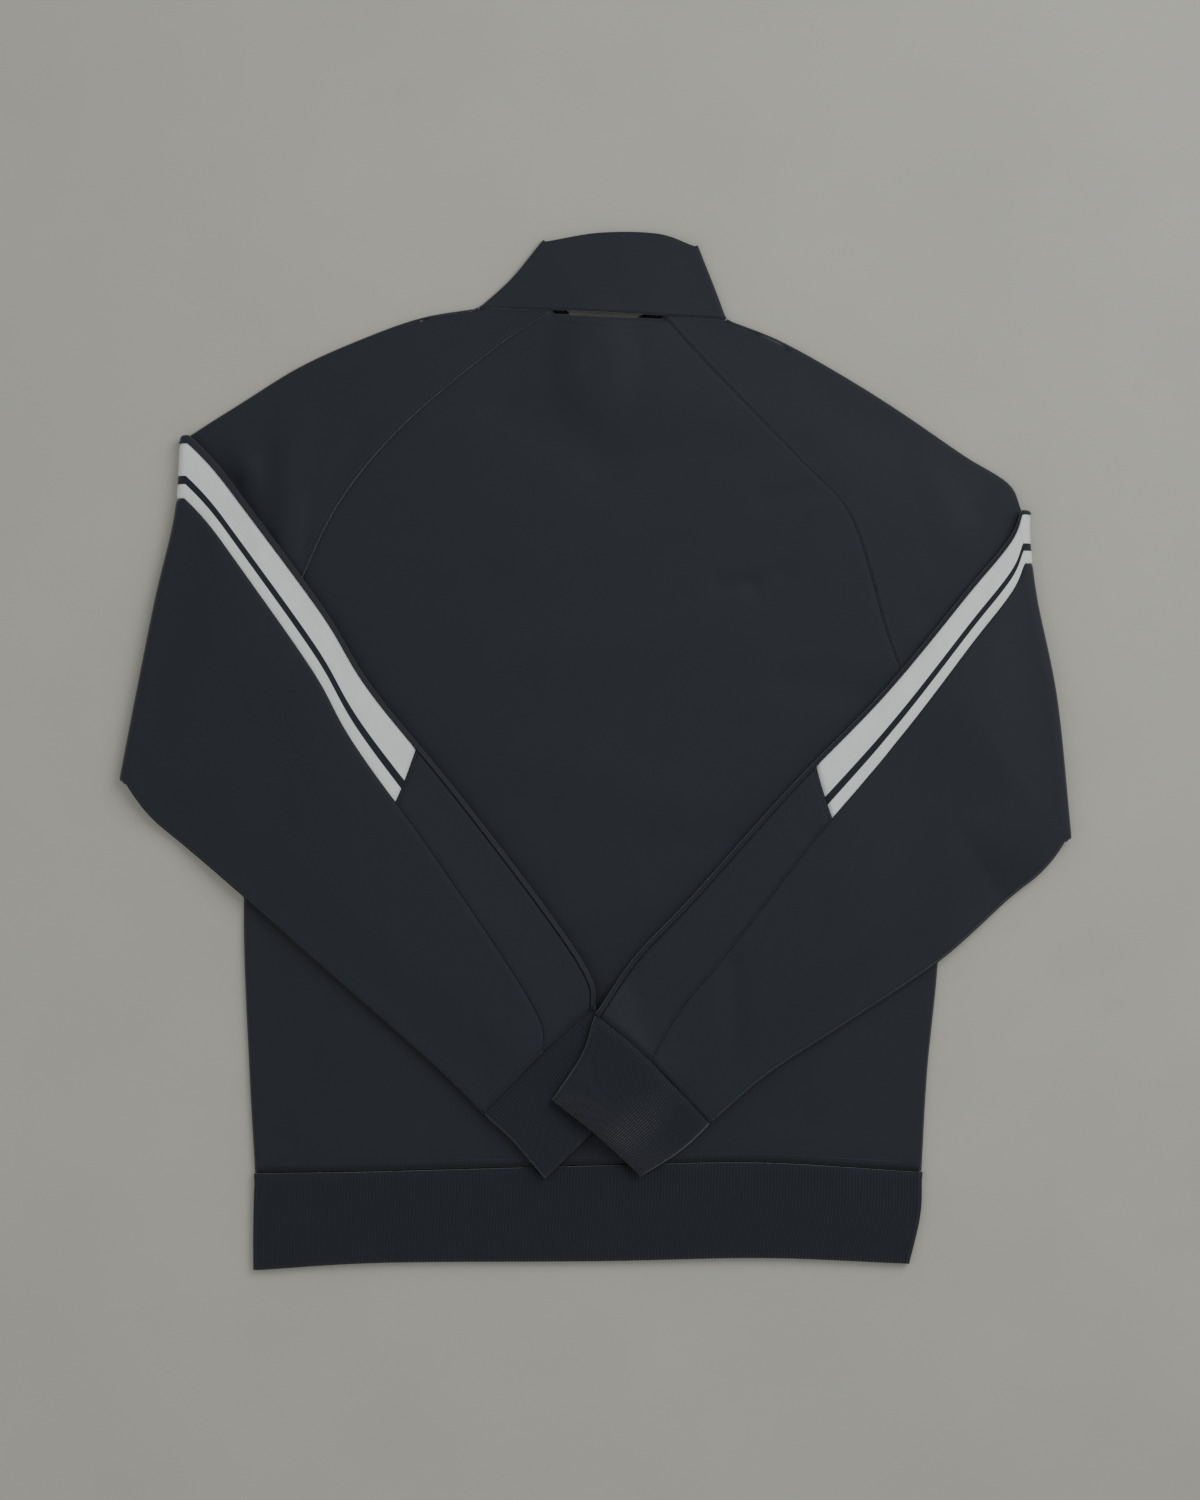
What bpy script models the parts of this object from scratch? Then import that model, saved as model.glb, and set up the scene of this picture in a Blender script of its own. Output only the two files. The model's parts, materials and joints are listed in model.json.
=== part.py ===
"""Track jacket lying face down, with both sleeves folded across its back.

Every cloth piece is a wall. The body and the sleeves are flattened tubes: two walls PLY apart from their
middle, joined round their edges. Each sleeve turns over on a fold line and lies on the back.
Lengths in the tables and functions are millimetres; the meshes are made in metres.
"""

import math
from collections import namedtuple

import bmesh
import bpy
import numpy as np

MM = 0.001
ORIGIN = np.array([1.09, 0.11, 0.0])  # middle of the outline, which the tables are not centred on

# Cloth
WALL = 1.2  # double-knit wall
RIB_WALL = 1.6  # 1x1 rib wall
PLY = 2.0  # half the distance between the two walls of a flattened tube
FOLD = 3.6  # radius of a sleeve's middle where it turns over
SEAM_GAP = 0.36  # between two pieces along a seam
EDGE = PLY + WALL / 2  # from an outline to the middle line of its rounded edge
QUARTER = math.pi * PLY / 2  # cloth in half a rounded edge

# Heights
LOFT = 4.0  # rise of the back above its flat edges
LOFT_RAMP = 75.0  # distance over which it rises
PUFF = 2.4  # rise of a folded sleeve's top wall
PUFF_RAMP = 45.0
SAG = 5.0  # how far a folded sleeve drops beside the body
SAG_RAMP = 55.0
CROSSING = 6.8  # lift of the right sleeve's end over the left cuff
CROSSING_RAMP = 34.0
SLIDER_RISE = 3.3  # lift of the cloth over the zip slider
SLIDER_REACH = (30.0, 44.0)

# Zip at the centre front
FRONT_EDGE = 5.5  # from the centre line to a front's edge
TEETH_HALF = 2.6
TEETH_WALL = 2.0
TAPE_INNER = 2.9
TAPE_OUTER = 15.0
TAPE_WALL = 0.7
FRONT_NECK_Y = 236.0
COLLAR_FRONT_TOP_Y = 292.0
SLIDER_Y = 282.5

# Grid counts
SIDE_ROWS = 5  # hem seam to armpit
RAGLAN_ROWS = 7  # armpit to neck
NECK_COLUMNS = 2  # a sleeve's share of the neck
BACK_COLUMNS = 12
FRONT_COLUMNS = 6
LOWER_ROWS = 7  # raglan seam to sleeve fold
FOLD_ROWS = 6
UPPER_ROWS = 9  # sleeve fold to cuff
ROUND_COLUMNS = 2  # in a quarter of a rounded edge
RIB_ROWS = 3
COLLAR_ROWS = 3

Point = namedtuple("Point", "x y")
Crease = namedtuple("Crease", "x0 y0 x1 y1 width depth")
Seam = namedtuple("Seam", "at upper lower")  # share of the sleeve's length, distances from its top edge
Side = namedtuple(
    "Side",
    "name shoulder fold under_lower inner_edge under_edge cuff_seam cuff_inner cuff_outer cuff_end "
    "raglan_back raglan_front neck_back neck_front side seams tape_end",
)


def points(*pairs):
    """A table of outline points, one row each."""
    return [Point(*pair) for pair in pairs]


LEFT = Side(
    name="left",
    shoulder=points((-81, 311), (-122, 305), (-164, 291), (-206, 273), (-248, 248), (-283, 227)),
    fold=points((-290, 221), (-294, 167), (-308, 106), (-322, 36), (-333, -21)),
    under_lower=points((-244, 9), (-290, -12), (-329, -27)),
    inner_edge=points(
        (-283, 227), (-254, 189), (-189, 100), (-155, 45), (-95, -29), (-31, -113), (-2, -158), (1, -181)
    ),
    under_edge=points((-329, -29), (-304, -52), (-262, -87), (-206, -136), (-116, -215), (-77, -253)),
    cuff_seam=points((1, -181), (-32, -208), (-77, -253)),
    cuff_inner=points((1, -181), (14, -204), (32, -234)),
    cuff_outer=points((-77, -253), (-57, -271), (-34, -298)),
    cuff_end=points((32, -234), (-2, -267), (-34, -298)),
    raglan_back=points((-29, 309), (-68, 284), (-132, 230), (-176, 178), (-204, 122), (-228, 60), (-244, 9)),
    raglan_front=points((-64, 275), (-110, 225), (-170, 150), (-215, 75), (-244, 9)),
    neck_back=points((-81, 311), (-55, 310), (-29, 309)),
    neck_front=points((-81, 311), (-73, 293), (-64, 275)),
    side=points((-238, -296), (-242, -225), (-246, -120), (-244, 9)),
    seams=[Seam(0.0, 6.0, 41.0), Seam(0.35, 7.0, 46.0), Seam(0.62, 4.0, 42.0), Seam(1.0, 4.0, 48.0)],
    tape_end=0.66,
)
RIGHT = Side(
    name="right",
    shoulder=points((93, 303), (130, 291), (172, 271), (214, 248), (260, 220), (291, 203), (302, 184)),
    fold=points((306, 168), (306, 147), (311, 106), (325, 36), (335, -62)),
    under_lower=points((244, -36), (290, -58), (331, -72)),
    inner_edge=points(
        (302, 180), (290, 149), (260, 112), (202, 42), (137, -25), (66, -104), (29, -143), (1, -183)
    ),
    under_edge=points((331, -74), (298, -97), (241, -147), (176, -190), (122, -225), (81, -260)),
    cuff_seam=points((1, -183), (38, -214), (81, -260)),
    cuff_inner=points((1, -183), (-8, -211), (-29, -243)),
    cuff_outer=points((81, -260), (60, -279), (32, -297)),
    cuff_end=points((-29, -243), (2, -268), (32, -297)),
    raglan_back=points((49, 305), (84, 267), (145, 204), (181, 163), (207, 79), (230, 20), (244, -36)),
    raglan_front=points((74, 266), (115, 215), (175, 135), (218, 50), (244, -36)),
    neck_back=points((93, 303), (71, 304), (49, 305)),
    neck_front=points((93, 303), (83, 284), (74, 266)),
    side=points((230, -295), (234, -225), (242, -140), (244, -36)),
    seams=[Seam(0.0, 3.6, 38.0), Seam(0.35, 3.6, 38.0), Seam(0.62, 3.6, 39.0), Seam(1.0, 4.0, 51.0)],
    tape_end=0.62,
)
NECK_BACK = points((-29, 309), (10, 307), (49, 305))
NECK_FRONT = {
    "left": points((-64, 275), (-36, 246), (-FRONT_EDGE, FRONT_NECK_Y)),
    "right": points((74, 266), (40, 244), (FRONT_EDGE, FRONT_NECK_Y)),
}
COLLAR_TOP = points((-36, 359), (4, 365), (46, 364), (73, 355))
COLLAR_FRONT_TOP = {
    "left": points((-36, 359), (-24, 318), (-FRONT_EDGE, COLLAR_FRONT_TOP_Y)),
    "right": points((73, 355), (44, 314), (FRONT_EDGE, COLLAR_FRONT_TOP_Y)),
}
COLLAR_SIDE = {
    "left": points((-81, 311), (-58, 332), (-36, 359)),
    "right": points((93, 303), (86, 322), (73, 355)),
}
HEM_SEAM = points((-238, -296), (-150, -294), (4, -290), (120, -288), (230, -295))
HEM_BOTTOM = points((-239, -364), (-150, -359), (4, -358), (120, -356), (221, -360))
HEM_SIDE = {
    "left": points((-238, -296), (-239, -330), (-239, -364)),
    "right": points((230, -295), (229, -325), (221, -360)),
}
# Troughs (negative depth) and ridges of the back and of the sleeves' lower halves
CREASES = [
    Crease(-60, 239, 5, 205, 20, -1.2),
    Crease(5, 205, 136, 214, 18, -1.3),
    Crease(88, 117, 134, 126, 14, -1.6),
    Crease(-48, 130, 8, 158, 20, 0.9),
    Crease(-70, 64, 97, 88, 22, 1.1),
    Crease(-55, -2, 57, -38, 24, 1.0),
    Crease(-282, 224, -243, 172, 14, -1.5),
    Crease(-229, 206, -228, 153, 14, -1.0),
    Crease(-206, 250, -214, 140, 16, 1.0),
    Crease(168, 247, 222, 222, 18, -1.2),
    Crease(286, 190, 262, 128, 14, -1.4),
]
# The same on the folded halves
UPPER_CREASES = {
    "left": [Crease(-77, -206, -86, -242, 14, -0.9), Crease(-250, 80, -190, -20, 26, 0.8)],
    "right": [Crease(97, -150, 100, -228, 16, -1.2), Crease(250, -10, 190, -90, 26, 0.8)],
}

NAVY = (0.0036, 0.0060, 0.0125, 1.0)
WHITE = (0.60, 0.64, 0.64, 1.0)
NAVY_METAL = (0.012, 0.016, 0.028, 1.0)


# Curves and patches


def curve(table, count):
    """COUNT + 1 points evenly spaced along a smooth curve through the table's rows."""
    rows = np.array([tuple(row) for row in table], float)
    ends = np.vstack([2 * rows[0] - rows[1], rows, 2 * rows[-1] - rows[-2]])
    steps = np.linspace(0, 1, 24, endpoint=False)[:, None]
    fine = []
    for a, b, c, d in zip(ends, ends[1:], ends[2:], ends[3:]):
        fine.append(
            0.5 * (2 * b + (c - a) * steps + (2 * a - 5 * b + 4 * c - d) * steps**2
                   + (3 * b - a - 3 * c + d) * steps**3)
        )
    return resample(np.vstack([*fine, rows[-1:]]), count)


def resample(line, count):
    """COUNT + 1 points evenly spaced along a polyline."""
    along = np.concatenate([[0], np.cumsum(np.linalg.norm(np.diff(line, axis=0), axis=1))])
    wanted = np.linspace(0, along[-1], count + 1)
    return np.stack([np.interp(wanted, along, line[:, k]) for k in range(line.shape[1])], axis=1)


def chain(*lines):
    """Several sampled lines joined end to end."""
    return np.vstack([lines[0]] + [line[1:] for line in lines[1:]])


def outward(line, turn):
    """Unit vectors square to a sampled plan line, to its left where turn is 1 and its right where -1."""
    along = np.gradient(line, axis=0)
    along /= np.linalg.norm(along, axis=1)[:, None]
    return turn * np.stack([-along[:, 1], along[:, 0]], axis=1)


def coons(start, end, first, last):
    """A patch between four sampled lines: rows run from start to end, columns from first to last."""
    u = np.linspace(0, 1, len(first))[:, None, None]
    v = np.linspace(0, 1, len(start))[None, :, None]
    ruled = (1 - u) * start[None] + u * end[None] + (1 - v) * first[:, None] + v * last[:, None]
    corners = (
        (1 - u) * ((1 - v) * start[0] + v * start[-1]) + u * ((1 - v) * end[0] + v * end[-1])
    )
    return ruled - corners


# Heights


def smooth(share):
    """0 to 1 with flat ends."""
    share = np.clip(share, 0, 1)
    return share * share * (3 - 2 * share)


def to_outline(place, outline):
    """Distance from each place to a closed outline, positive inside it."""
    flat = place[..., :2].reshape(-1, 1, 2)
    tails = outline[None]
    heads = np.roll(outline, -1, axis=0)[None]
    run = heads - tails
    length = np.maximum((run * run).sum(-1), 1e-9)
    share = np.clip(((flat - tails) * run).sum(-1) / length, 0, 1)
    distance = np.linalg.norm(flat - tails - share[..., None] * run, axis=-1).min(axis=1)
    crosses = (tails[..., 1] > flat[..., 1]) != (heads[..., 1] > flat[..., 1])
    rise = np.where(run[..., 1] == 0, 1, run[..., 1])
    at = tails[..., 0] + (flat[..., 1] - tails[..., 1]) * run[..., 0] / rise
    inside = (crosses & (flat[..., 0] < at)).sum(axis=1) % 2 == 1
    return np.where(inside, distance, -distance).reshape(place.shape[:-1])


def creased(place, creases):
    """Sum of soft troughs and ridges along straight lines that fade at their ends."""
    height = np.zeros(place.shape[:-1])
    for crease in creases:
        tail = np.array([crease.x0, crease.y0])
        run = np.array([crease.x1, crease.y1]) - tail
        reach = (place[..., :2] - tail) @ run / (run @ run)
        off = np.linalg.norm(place[..., :2] - tail - np.clip(reach, 0, 1)[..., None] * run, axis=-1)
        height += crease.depth * np.exp(-((off / crease.width) ** 2))
    return height


def lower_outline():
    """The plan outline of everything that lies in the two lowest walls."""
    parts = [
        curve(LEFT.shoulder, 12), curve(LEFT.fold, 12), curve(LEFT.under_lower, 4)[::-1],
        curve(LEFT.side, 8)[::-1], curve(HEM_SIDE["left"], 3), curve(HEM_BOTTOM, 10),
        curve(HEM_SIDE["right"], 3)[::-1], curve(RIGHT.side, 8), curve(RIGHT.under_lower, 4),
        curve(RIGHT.fold, 12)[::-1], curve(RIGHT.shoulder, 12)[::-1], curve(COLLAR_SIDE["right"], 3),
        curve(COLLAR_TOP, 6)[::-1], curve(COLLAR_SIDE["left"], 3)[::-1],
    ]
    return np.vstack(parts)


def upper_outline(side):
    """The plan outline of a folded sleeve with its cuff."""
    parts = [
        curve(side.inner_edge, 16), curve(side.cuff_inner, 3), curve(side.cuff_end, 4),
        curve(side.cuff_outer, 3)[::-1], curve(side.under_edge, 12)[::-1], curve(side.fold, 10)[::-1],
    ]
    return np.vstack(parts)


LOWER = lower_outline()
UPPER = {side.name: upper_outline(side) for side in (LEFT, RIGHT)}
LEFT_CUFF = np.vstack([
    curve(LEFT.cuff_seam, 4), curve(LEFT.cuff_outer, 3), curve(LEFT.cuff_end, 4)[::-1],
    curve(LEFT.cuff_inner, 3)[::-1],
])


def slider_rise(place):
    """Lift of the cloth over the zip slider."""
    across = place[..., 0] / SLIDER_REACH[0]
    along = (place[..., 1] - SLIDER_Y + 12) / SLIDER_REACH[1]
    return SLIDER_RISE * smooth(1.35 - 1.1 * np.hypot(across, along))


def floor_height(place):
    """Middle of the lowest wall."""
    return WALL / 2 + slider_rise(place)


def loft(place):
    """Rise of the lower layers above their flat edges, without creases."""
    return LOFT * smooth((to_outline(place, LOWER) - 2 * EDGE) / LOFT_RAMP)


def back_height(place):
    """Middle of the second wall: the back and the sleeves' lower halves."""
    rise = loft(place)
    return WALL / 2 + 2 * PLY + rise + creased(place, CREASES) * rise / LOFT + slider_rise(place)


def folded_height(side, place):
    """Middle of a folded sleeve's lower wall."""
    beside = smooth((-to_outline(place, LOWER) - 4) / SAG_RAMP)
    height = WALL / 2 + 2 * FOLD + loft(place) - SAG * beside
    if side is RIGHT:
        height = height + CROSSING * smooth(1 + to_outline(place, LEFT_CUFF) / CROSSING_RAMP)
    return height


def folded_puff(side, place):
    """Rise of a folded sleeve's upper wall over its lower one, beyond the gap between walls."""
    share = smooth((to_outline(place, UPPER[side.name]) - 2 * EDGE) / PUFF_RAMP)
    return share * (PUFF + creased(place, UPPER_CREASES[side.name]))


def lifted(plan, heights):
    """Plan points with their heights."""
    return np.concatenate([plan, heights[..., None]], axis=-1)


# Flattened tubes


class Tube:
    """Two walls of a flattened tube, row by row, with rounded edges at their first and last columns.

    front and back are grids of points; out_first and out_last point out of the tube at its two edges.
    """

    def __init__(self, front, back, out_first, out_last):
        self.front = front
        self.back = back
        self.out_first = out_first
        self.out_last = out_last

    def rows(self, first, last):
        """The same tube, some rows of it."""
        part = slice(first, last)
        return Tube(self.front[part], self.back[part], self.out_first[part], self.out_last[part])

    def at(self, distance):
        """One column of points, a distance round the tube from its first edge: over the front wall where
        it is positive and over the back wall where it is negative. A row's own length is shown by width().
        """
        distance = np.broadcast_to(distance, len(self.front)).astype(float)
        return np.array([self._point(row, value) for row, value in enumerate(distance)])

    def width(self, wall):
        """Cloth in each row of a wall, from edge to edge, rounded edges included."""
        steps = np.linalg.norm(np.diff(wall, axis=1), axis=2)
        return steps.sum(axis=1) + 2 * QUARTER

    def marks(self, wall):
        """Distances of a wall's own columns from the first edge, one list of rows for each column."""
        steps = np.linalg.norm(np.diff(wall, axis=1), axis=2)
        along = np.concatenate([np.zeros((len(wall), 1)), np.cumsum(steps, axis=1)], axis=1)
        return list((along + QUARTER).T)

    def _point(self, row, distance):
        wall = self.front[row] if distance >= 0 else self.back[row]
        other = self.back[row] if distance >= 0 else self.front[row]
        along = np.concatenate([[0], np.cumsum(np.linalg.norm(np.diff(wall, axis=0), axis=1))])
        flat = abs(distance) - QUARTER
        if 0 <= flat <= along[-1]:
            return np.array([np.interp(flat, along, wall[:, k]) for k in range(3)])
        end, out = (0, self.out_first[row]) if flat < 0 else (-1, self.out_last[row])
        short = flat if flat < 0 else along[-1] - flat
        middle = (wall[end] + other[end]) / 2
        half = wall[end] - middle
        turn = min(-short / PLY, math.pi / 2)
        return middle + half * math.cos(turn) + out * np.linalg.norm(half) * math.sin(turn)


def spaced(start, end, count):
    """COUNT + 1 columns of distances, evenly spaced from start to end in each row."""
    return [start + (end - start) * k / count for k in range(count + 1)]


def grid_of(tube, columns):
    """A grid of points from a tube's columns."""
    return np.stack([tube.at(column) for column in columns], axis=1)


def trimmed(grid, gaps):
    """The grid with its edges drawn in. gaps is (first row, last row, first column, last column)."""
    grid = grid.copy()
    for gap, edge, inner in (
        (gaps[0], np.s_[0], np.s_[1]),
        (gaps[1], np.s_[-1], np.s_[-2]),
        (gaps[2], np.s_[:, 0], np.s_[:, 1]),
        (gaps[3], np.s_[:, -1], np.s_[:, -2]),
    ):
        run = grid[inner] - grid[edge]
        length = np.maximum(np.linalg.norm(run, axis=-1, keepdims=True), 1e-6)
        grid[edge] = grid[edge] + run / length * gap
    return grid


# Meshes


def material(name, colour, roughness, metallic=0.0):
    """A plain Principled finish."""
    made = bpy.data.materials.new(name)
    made.use_nodes = True
    shader = made.node_tree.nodes["Principled BSDF"]
    shader.inputs["Base Color"].default_value = colour
    shader.inputs["Roughness"].default_value = roughness
    shader.inputs["Metallic"].default_value = metallic
    return made


def add_object(name, bm, finish, collection):
    """A mesh object from a bmesh, in the garment's collection."""
    mesh = bpy.data.meshes.new(name)
    bm.to_mesh(mesh)
    bm.free()
    mesh.shade_smooth()
    mesh.materials.append(finish)
    obj = bpy.data.objects.new(name, mesh)
    collection.objects.link(obj)
    return obj


def sheet(name, grid, wall, finish, collection, closed=False):
    """A wall of cloth on a grid of points. A closed sheet's last column is its first."""
    rows, columns = grid.shape[:2]
    bm = bmesh.new()
    bmesh.ops.create_grid(bm, x_segments=columns - 1, y_segments=rows - 1, size=1)
    for vert, place in zip(bm.verts, grid.reshape(-1, 3)):
        vert.co = (place - ORIGIN) * MM
    if closed:
        bmesh.ops.remove_doubles(bm, verts=bm.verts, dist=0.01 * MM)
    obj = add_object(name, bm, finish, collection)
    shell = obj.modifiers.new("Wall", "SOLIDIFY")
    shell.thickness = wall * MM
    shell.offset = 0
    shell.use_even_offset = True
    shell.use_quality_normals = True
    return obj


def block(bm, low, high):
    """A box between two corners, added to a bmesh."""
    low = np.array(low)
    high = np.array(high)
    made = bmesh.ops.create_cube(bm, size=1)["verts"]
    for vert in made:
        vert.co = (low + (np.array(vert.co) + 0.5) * (high - low) - ORIGIN) * MM


# Sleeves


def sleeve_tube(side):
    """A whole sleeve: from its raglan seams over the fold to the cuff seam."""
    turn = 1 if side is RIGHT else -1
    columns = NECK_COLUMNS + RAGLAN_ROWS
    fold = curve(side.fold, columns)
    fold_out = outward(fold, turn)
    fold_line = fold - fold_out * (FOLD + PLY + WALL / 2)
    first_along = unit(fold_line[0] - fold_line[1])
    last_along = unit(fold_line[-1] - fold_line[-2])
    fold_line = resample(
        np.vstack([fold_line[0] - first_along * 2, fold_line[1:-1], fold_line[-1] - last_along * 2]), columns
    )
    shoulder = curve(side.shoulder, LOWER_ROWS)
    shoulder_out = outward(shoulder, turn)
    under = curve(side.under_lower, LOWER_ROWS)
    under_out = outward(under, -turn)
    top = inset_to(shoulder, shoulder_out, fold_line[0])
    bottom = inset_to(under, under_out, fold_line[-1])
    walls = []
    for neck, raglan in ((side.neck_front, side.raglan_front), (side.neck_back, side.raglan_back)):
        start = chain(curve(neck, NECK_COLUMNS), curve(raglan, RAGLAN_ROWS))
        start[0] = top[0]
        start[-1] = bottom[0]
        walls.append(coons(start, fold_line, top, bottom))
    front = lifted(walls[0], floor_height(walls[0]))
    back = lifted(walls[1], back_height(walls[1]))

    turned_front, turned_back = [], []
    axis = WALL / 2 + FOLD + PLY
    for step in range(1, FOLD_ROWS):
        angle = math.pi * step / FOLD_ROWS
        for wall, radius in ((turned_front, FOLD + PLY), (turned_back, FOLD - PLY)):
            plan = fold_line + fold_out * radius * math.sin(angle)
            wall.append(lifted(plan, np.full(columns + 1, axis - radius * math.cos(angle))))

    inner = curve(side.inner_edge, UPPER_ROWS)
    inner_out = outward(inner, -turn)
    outer = curve(side.under_edge, UPPER_ROWS)
    outer_out = outward(outer, turn)
    inner_line = inner - inner_out * EDGE
    outer_line = outer - outer_out * EDGE
    inner_line[0] = fold_line[0]
    outer_line[0] = fold_line[-1]
    seam = curve(side.cuff_seam, columns)
    seam = fitted(seam, inner_line[-1], outer_line[-1])
    plan = coons(fold_line, seam, inner_line, outer_line)
    low = folded_height(side, plan)
    upper_front = lifted(plan, low + 2 * PLY + folded_puff(side, plan))
    upper_back = lifted(plan, low)
    out_first = np.vstack([
        eased(shoulder_out, first_along, -1), np.repeat(first_along[None], FOLD_ROWS - 1, axis=0),
        eased(inner_out, first_along, 0),
    ])
    out_last = np.vstack([
        eased(under_out, last_along, -1), np.repeat(last_along[None], FOLD_ROWS - 1, axis=0),
        eased(outer_out, last_along, 0),
    ])
    return Tube(
        np.vstack([front, turned_front, upper_front]),
        np.vstack([back, turned_back, upper_back]),
        with_height(out_first),
        with_height(out_last),
    )


def unit(vector):
    """A vector of length 1."""
    return vector / np.linalg.norm(vector)


def with_height(directions):
    """Level directions in space."""
    return np.concatenate([directions, np.zeros((len(directions), 1))], axis=1)


def eased(directions, target, end):
    """Directions that turn to a target at one end of the list, over two rows."""
    directions = directions.copy()
    step = 1 if end == 0 else -1
    directions[end] = target
    directions[end + step] = unit(directions[end + step] + 0.5 * target)
    return directions


def inset_to(line, out, corner):
    """A line drawn in to the middle of its rounded edge, ending at a corner."""
    line = line - out * EDGE
    line[-1] = corner
    return line


def fitted(line, start, end):
    """A line moved so that it runs between two points."""
    share = np.linspace(0, 1, len(line))[:, None]
    return line + (1 - share) * (start - line[0]) + share * (end - line[-1])


def seam_distances(side, rows):
    """Distances round the sleeve of the tape's two seams, row by row."""
    at = [seam.at for seam in side.seams]
    share = np.linspace(0, 1, rows)
    upper = np.interp(share, at, [seam.upper for seam in side.seams])
    lower = np.interp(share, at, [seam.lower for seam in side.seams])
    return upper, lower


def build_sleeve(side, finishes, collection):
    """The four pieces of a sleeve and its cuff."""
    tube = sleeve_tube(side)
    rows = len(tube.front)
    upper, lower = seam_distances(side, rows)
    gap = SEAM_GAP / 2
    front_width = tube.width(tube.front)
    back_width = tube.width(tube.back)

    columns = spaced(upper, np.full(rows, -QUARTER), 2 * ROUND_COLUMNS)
    columns += [-mark for mark in tube.marks(tube.back)[1:]]
    columns += spaced(QUARTER - back_width, -back_width, ROUND_COLUMNS)[1:]
    back = trimmed(grid_of(tube, columns), (gap, gap, gap, SEAM_GAP))
    sheet(f"sleeve_back_{side.name}", back, WALL, finishes["knit"], collection)

    marks = tube.marks(tube.front)[NECK_COLUMNS:]
    lower[0] = marks[0][0]
    stretch = (marks[-1] - lower) / (marks[-1] - marks[0])
    columns = spaced(front_width, front_width - QUARTER, ROUND_COLUMNS)
    columns += [lower + (mark - marks[0]) * stretch for mark in marks[-2::-1]]
    front = trimmed(grid_of(tube, columns), (gap, gap, SEAM_GAP, gap))
    sheet(f"sleeve_front_{side.name}", front, WALL, finishes["knit"], collection)

    insert = grid_of(tube, spaced(upper, lower, 3))
    end = round(side.tape_end * (rows - 1))
    tape = trimmed(insert[: end + 1], (gap, gap, gap, gap))
    sheet(f"shoulder_tape_{side.name}", tape, WALL, finishes["tape"], collection)
    strip = trimmed(insert[end:], (gap, gap, gap, gap))
    sheet(f"overarm_strip_{side.name}", strip, WALL, finishes["knit"], collection)

    build_cuff(side, tube, finishes, collection)


def build_cuff(side, tube, finishes, collection):
    """A rib cuff, a flattened ring that carries the sleeve on."""
    turn = 1 if side is RIGHT else -1
    columns = tube.front.shape[1] - 1
    start = tube.front[-1, :, :2]
    inner_out = outward(curve(side.cuff_inner, RIB_ROWS), -turn)
    outer_out = outward(curve(side.cuff_outer, RIB_ROWS), turn)
    inner = curve(side.cuff_inner, RIB_ROWS) - inner_out * EDGE
    outer = curve(side.cuff_outer, RIB_ROWS) - outer_out * EDGE
    inner[0] = start[0]
    outer[0] = start[-1]
    end = fitted(curve(side.cuff_end, columns), inner[-1], outer[-1])
    plan = coons(start, end, inner, outer)
    low = folded_height(side, plan)
    cuff = Tube(
        lifted(plan, low + 2 * PLY),
        lifted(plan, low),
        with_height(inner_out),
        with_height(outer_out),
    )
    front_width = cuff.width(cuff.front)
    back_width = cuff.width(cuff.back)
    rows = RIB_ROWS + 1
    ring = spaced(np.zeros(rows), QUARTER * np.ones(rows), ROUND_COLUMNS)
    ring += spaced(QUARTER * np.ones(rows), front_width - QUARTER, 6)[1:]
    ring += spaced(front_width - QUARTER, front_width, ROUND_COLUMNS)[1:]
    ring += spaced(-back_width, QUARTER - back_width, ROUND_COLUMNS)[1:]
    ring += spaced(QUARTER - back_width, -QUARTER * np.ones(rows), 6)[1:]
    ring += spaced(-QUARTER * np.ones(rows), np.zeros(rows) - 1e-9, ROUND_COLUMNS)[1:]
    grid = trimmed(grid_of(cuff, ring), (SEAM_GAP, 0, 0, 0))
    sheet(f"cuff_{side.name}", grid, RIB_WALL, finishes["rib"], collection, closed=True)


# Body


def rounded_edge(grid, out, bend, rise):
    """Columns past a grid's last one, turning a quarter round towards the other wall.

    bend is 1 where the edge is rounded and 0 where it stays flat; rise is 1 for a lower wall.
    """
    added = []
    bend = np.maximum(bend, 0.02)[:, None]
    for step in range(1, ROUND_COLUMNS + 1):
        angle = bend * (math.pi / 2) * step / ROUND_COLUMNS
        level = out * np.sin(angle) * PLY / bend
        height = rise * PLY / bend * (1 - np.cos(angle))
        added.append(grid[:, -1] + np.concatenate([level, height], axis=1))
    return np.concatenate([grid, np.stack(added, axis=1)], axis=1)


def side_edge(side, raglan):
    """A body panel's outer line from hem seam to neck, where its walls start to turn, its outward
    directions and how much each row is bent.
    """
    turn = 1 if side is RIGHT else -1
    line = chain(curve(side.side, SIDE_ROWS), curve(raglan, RAGLAN_ROWS)[::-1])
    out = outward(line, -turn)
    out[SIDE_ROWS] = unit(out[SIDE_ROWS - 1] + 0.3 * out[SIDE_ROWS + 1])
    bend = np.array([1.0] * SIDE_ROWS + [0.5] + [0.0] * RAGLAN_ROWS)
    reach = np.where(bend > 0.75, EDGE, QUARTER)[:, None]
    return line - out * reach, out, bend


def build_back(finishes, collection):
    """The back panel, turned down along both sides."""
    left, left_out, left_bend = side_edge(LEFT, LEFT.raglan_back)
    right, right_out, right_bend = side_edge(RIGHT, RIGHT.raglan_back)
    bottom = fitted(curve(HEM_SEAM, BACK_COLUMNS), left[0], right[0])
    top = fitted(curve(NECK_BACK, BACK_COLUMNS), left[-1], right[-1])
    plan = coons(bottom, top, left, right)
    grid = lifted(plan, back_height(plan))
    grid = rounded_edge(grid, right_out, right_bend, -1)
    grid = rounded_edge(grid[:, ::-1], left_out, left_bend, -1)[:, ::-1]
    gap = SEAM_GAP / 2
    sheet("back", trimmed(grid, (gap, gap, SEAM_GAP, SEAM_GAP)), WALL, finishes["knit"], collection)


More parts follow.
